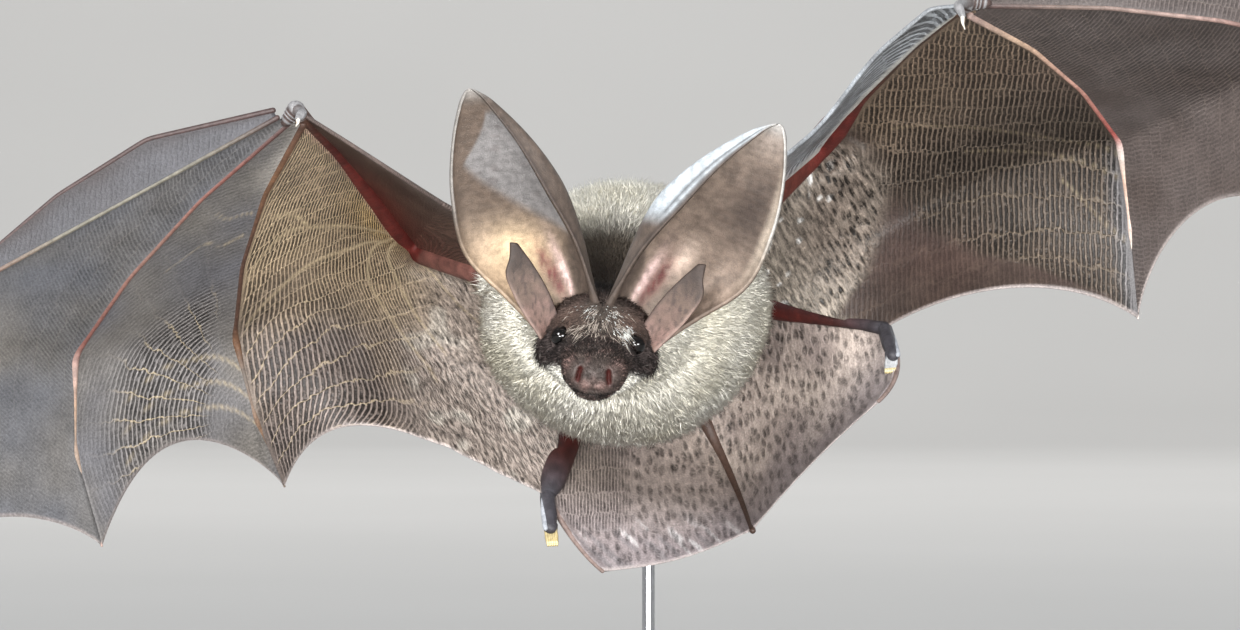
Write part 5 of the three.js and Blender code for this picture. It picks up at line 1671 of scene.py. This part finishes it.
def face_coat(core, material):
    """Short velvet on the muzzle, pale hair fanning down the forehead, long dark hair on the cheeks."""
    def wanted(m):
        h = to_head(m)
        return (h[:, 1] < 9.0) & (np.abs(h[:, 0]) < 9.5) & (np.abs(h[:, 2]) < 9.5)

    roots, n = scatter(core, wanted, int(FACE_TUFTS * COAT_SHARE))
    h = to_head(roots)
    f = mirrored(h)
    keep = (np.linalg.norm(f - EYE_PLACE, axis=1) > BARE_ROUND_EYE) & (nostril_depth(*f.T) < 0.10)
    keep &= (h[:, 1] > -9.6) | (rng.random(len(h)) < 0.35)
    roots, n, h, f = roots[keep], n[keep], h[keep], f[keep]
    count = len(roots)
    ax, y, z = f.T
    brow, cheek = brow_patch(f), cheek_patch(f)
    ones = np.ones(count)
    lie = np.stack([0.1 + ax / 12, ones, 0.03 * (z + 3)], 1)
    lie = mix(lie, np.stack([0.2 + 0.3 * ax, -0.9 * ones, -1.1 * ones], 1), brow)
    lie = mix(lie, np.stack([0.9 * ones, 0.4 * ones, -0.8 * ones], 1), 0.9 * cheek)
    lie = lie + 0.25 * rng.normal(size=lie.shape) + 0.35 * noise(h, 1.5, 83)[:, None] * np.array([1, 0, 1])
    lie = lie * np.stack([np.sign(h[:, 0]), ones, ones], 1) @ HEAD_TURN.T
    curls = smoothstep(-0.2, 0.35, noise(h, 1.1, 84) + 0.1) * (1 - smoothstep(2.4, 5.0, ax))
    long_brow = rng.random(count) < 0.10 * brow * curls * bump(ax, 4.2) * (1 - smoothstep(3.2, 4.6, z))
    length = 0.5 + 2.3 * smoothstep(-5.5, 4.5, y) * (1 - 0.7 * brow)
    bristle = (rng.random(count) < 0.45) & (y > -9.8) & (y < 0)
    length = np.where(bristle, 0.9, length)
    length = (length + 1.6 * cheek) * (0.7 + 0.6 * rng.random(count))
    length = np.where(long_brow, 1.9 + 1.5 * rng.random(count), length)
    length *= 1 - 0.4 * blob(f, (4.0, 2.0, 4.4), (4.0, 3.4, 2.4))
    length *= 0.35 + 0.65 * smoothstep(1.7, 3.2, np.linalg.norm(f - EYE_PLACE, axis=1))
    radius = 0.032 + 0.03 * smoothstep(-7, 3, y) * (1 - 0.4 * brow) + 0.012 * rng.random(count)
    radius = np.where(bristle, 0.07, np.where(long_brow, 0.055, radius))
    tilt = np.radians(24 + 10 * rng.normal(size=count) - 8 * long_brow)
    droop = np.radians(9 + 8 * rng.normal(size=count) - 6 * long_brow)
    shade = (0.6 + 0.8 * rng.random(count))[:, None]
    tint = face_tint(h) * np.where(bristle[:, None], 0.25 + 2.5 * rng.random((count, 1)) ** 2, shade)
    white = 0.45 * blob(f, (1.3, 1.4, 3.2), (0.9, 1.4, 0.8))
    white = white + 1.2 * blob(h, (4.1, -1.6, 1.5), (1.5, 1.5, 0.8))
    tint = np.where(long_brow[:, None], HAIR_TAN * SKIN_SHARE * (0.6 + 0.7 * shade), tint)
    tint = np.where((rng.random(count) < 0.7 * white)[:, None], HAIR_WHITE * 0.8, tint)
    wisp = (cheek > 0.12) & (ax > 8.0) & (z < 0.5) & (rng.random(count) < 0.6 * (1 - cheek))
    tint = np.where(wisp[:, None], CREAM * 0.7, tint)
    uv = unwrap(h, np.array([0.0, 0, -2.0]), (-12, 10))
    fur = Fur(roots, n, lie, length, radius, tilt, droop, tint, uv)
    fur.clear_of(core["ears"], FACE_CLEARANCE)
    h = to_head(fur.root)
    quarter = 2 * (h[:, 0] > 0) + (h[:, 2] > -1.5)
    names = ["right_low", "right_high", "left_low", "left_high"]
    return [fur.build(f"face_coat_{name}", np.flatnonzero(quarter == k), material)
            for k, name in enumerate(names)]


# ------------------------------------------------------------------ eyes


def eyeball(name, side, material):
    piece = Surface()
    centre = EYE_PLACE * np.array([side, 1, 1])
    rows, columns = 40, 64
    latitude = np.linspace(-np.pi / 2, np.pi / 2, rows + 2)[1:-1]
    angle = 2 * np.pi * np.arange(columns) / columns
    axis = unit(EYE_AXIS * np.array([side, 1, 1]))
    u = unit(np.cross(axis, [0, 0, 1.0]))
    v = np.cross(u, axis)
    # The cornea bulges a little towards its middle.
    radius = EYE_RADIUS * (1 + 0.05 * smoothstep(0.0, 1.57, latitude))
    ring = u[None] * np.cos(angle)[:, None] + v[None] * np.sin(angle)[:, None]
    p = centre + radius[:, None, None] * (np.cos(latitude)[:, None, None] * ring[None]
                                          + np.sin(latitude)[:, None, None] * axis)
    points, faces = loft_shape(p)
    piece.add(from_head(points), faces, srgb(12, 10, 10))
    return piece.build(name, [material])


# ------------------------------------------------------------------ studio


def studio(paper):
    """A pale floor that curves up behind the model into a backdrop, in metres."""
    front, back, top, half_width = -3.2, 3.6, 3.0, 4.5
    turn = 1.2                            # radius of the curve
    below, columns = 0.0002, 12           # the paper lies a little below the stand
    profile = [(front, 0.0), (back - turn, 0.0)]
    profile += [(back - turn + turn * math.sin(a), turn - turn * math.cos(a))
                for a in np.radians(np.arange(9, 90, 9))]
    profile += [(back, turn), (back, top)]
    points = np.array([[x, y, z - below] for y, z in profile
                       for x in np.linspace(-half_width, half_width, columns)])
    faces = [grid_faces(columns, len(profile))]
    mesh = new_mesh("studio_floor", points / METRES - FLIGHT_DATUM, faces)
    new_object("studio_floor", mesh, [paper])


def add_light(name, place, target, size, power, colour):
    data = bpy.data.lights.new(name, "AREA")
    data.shape = "RECTANGLE"
    data.size, data.size_y = size
    data.energy = power
    data.color = colour
    light = bpy.data.objects.new(name, data)
    light.location = place
    aim = Vector(np.array(target) - np.array(place))
    light.rotation_euler = aim.to_track_quat("-Z", "Y").to_euler()
    bpy.context.scene.collection.objects.link(light)


def lights():
    """Soft boxes round the model, in metres and watts, one more for the backdrop, and a dim room."""
    middle, white, cool = (0, 0, 0.075), (1, 1, 1), (0.92, 0.96, 1)
    for name, place, target, size, power, colour in (
            ("key", (-0.4, -1.0, 0.52), middle, (0.3, 0.3), 18, white),
            ("fill", (0.45, -1.0, 0.12), middle, (0.4, 0.2), 12, white),
            ("low", (-0.1, -0.74, 0.02), middle, (0.3, 0.03), 5, white),
            ("top", (0.0, 0.05, 1.1), middle, (0.9, 0.6), 2, white),
            ("backdrop", (0.0, 1.0, 1.8), (0, 3.4, 0.8), (2.5, 0.8), 85, white),
            ("rim_right", (-0.7, 0.5, 0.55), middle, (0.4, 0.5), 2.5, cool),
            ("rim_left", (0.7, 0.5, 0.55), middle, (0.4, 0.5), 2.5, cool)):
        add_light(name, place, target, size, power, colour)
    world = bpy.data.worlds.new("soft_room")
    world.use_nodes = True
    world.node_tree.nodes["Background"].inputs["Color"].default_value = (0.95, 0.97, 1, 1)
    world.node_tree.nodes["Background"].inputs["Strength"].default_value = 0.28
    bpy.context.scene.world = world
    bpy.context.scene.view_settings.view_transform = "Standard"


def camera():
    """A camera level with the shoulders, far enough away for the photo's flat perspective."""
    sensor, focal_length, image_width = 36, 5600, 1240      # millimetres, pixels and pixels
    data = bpy.data.cameras.new("camera")
    data.sensor_width = sensor
    data.lens = sensor * focal_length / image_width
    obj = bpy.data.objects.new("camera", data)
    obj.location = (0, -0.845, 0.075)
    obj.rotation_euler = (math.radians(90), 0, 0)
    bpy.context.scene.collection.objects.link(obj)
    bpy.context.scene.camera = obj


# ------------------------------------------------------------------ assembly


def build_skin(wings, legs, claws):
    skin = Surface()
    p, quads, triangles = body_core(wings, legs)
    limbs = limb_lines(wings, legs)
    skin.add(p, [quads, triangles], core_tint(p, limbs), 0)
    ears = np.concatenate([ear_surface(side, 80, 90)[0][8:].reshape(-1, 3) for side in (-1, 1)])
    core = dict(p=p, triangles=quads_to_triangles(quads, triangles), normals=point_normals(p, quads),
                limbs=[line for line, _ in limbs], ears=from_head(ears))
    for name, pose in WINGS.items():
        side, joints, leg = pose["side"], wings[name], legs[name]
        ear(skin, side)
        tragus(skin, side)
        paths = joints["fingers"]
        if side < 0:
            inner = hand_look_right(paths[5])
            outer = hand_look(srgb(102, 103, 108), srgb(112, 108, 104), 22, 0.35, (0.7, 2.9), 0.5)
            lead = leading_look(srgb(76, 75, 80), srgb(54, 46, 46), 24)
        else:
            inner = hand_look(srgb(88, 78, 74), srgb(104, 95, 92), 25, 0.5)
            outer = hand_look(srgb(96, 86, 83), srgb(106, 98, 96), 27, 0.35)
            lead = leading_look(srgb(118, 104, 98), srgb(80, 66, 62), 29)
        finger_sheet(skin, paths[5], paths[4], (0.45, 0.45), pose["hand_trail"], inner)
        finger_sheet(skin, paths[4], paths[3], (0.45, 0.45), pose["outer_trail"], outer)
        finger_sheet(skin, joints["metacarpal3"], paths[2], (0.45, 0.35), 0, lead)
        arm_sheet(skin, joints, pose, leg)
        front_sheet(skin, joints, pose)
        fingers(skin, joints, side)
        wrist_and_thumb(skin, claws, joints, side)
        foot(skin, claws, leg)
        tail_sheet(skin, leg)
    tail_and_spurs(skin, legs)
    materials = [skin_material("body_skin", 0.15, 0.25, 0.6),
                 skin_material("ear_skin", 0.18, 0.16, 0.55, SKIN_SHARE),
                 membrane_material("wing_skin"),
                 skin_material("finger_skin", 0.2, 0.3, 0.5, SKIN_SHARE)]
    return skin.build("bat_skin", materials), core


def flesh_nodes():
    """The CAD nodes that the skin stands for: all but the eyes and the stand."""
    return [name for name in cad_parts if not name.startswith(("eye_", "stand_"))]


def main():
    camera()
    lights()
    studio(paper_material())
    wings = {name: wing_joints(pose) for name, pose in WINGS.items()}
    legs = {name: leg_joints(pose) for name, pose in LEGS.items()}
    claws = Surface()
    skin, core = build_skin(wings, legs, claws)
    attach(skin, "root")
    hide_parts(*flesh_nodes())
    horn = claws.build("claws", [horn_material()])
    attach(horn, "root")
    wet = eye_material()
    for name, side in (("right", -1), ("left", 1)):
        ball = eyeball(f"eyeball_{name}", side, wet)
        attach(ball, "root")
        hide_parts(f"eye_{name}")
    fur = coat_material("body_fur")
    for piece in body_coat(core, fur):
        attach(piece, "root")
    for piece in face_coat(core, coat_material("face_fur")):
        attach(piece, "root")
    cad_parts["stand_base"].material_slots[0].material = wood_material()
    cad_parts["stand_rod"].material_slots[0].material = steel_material()


main()
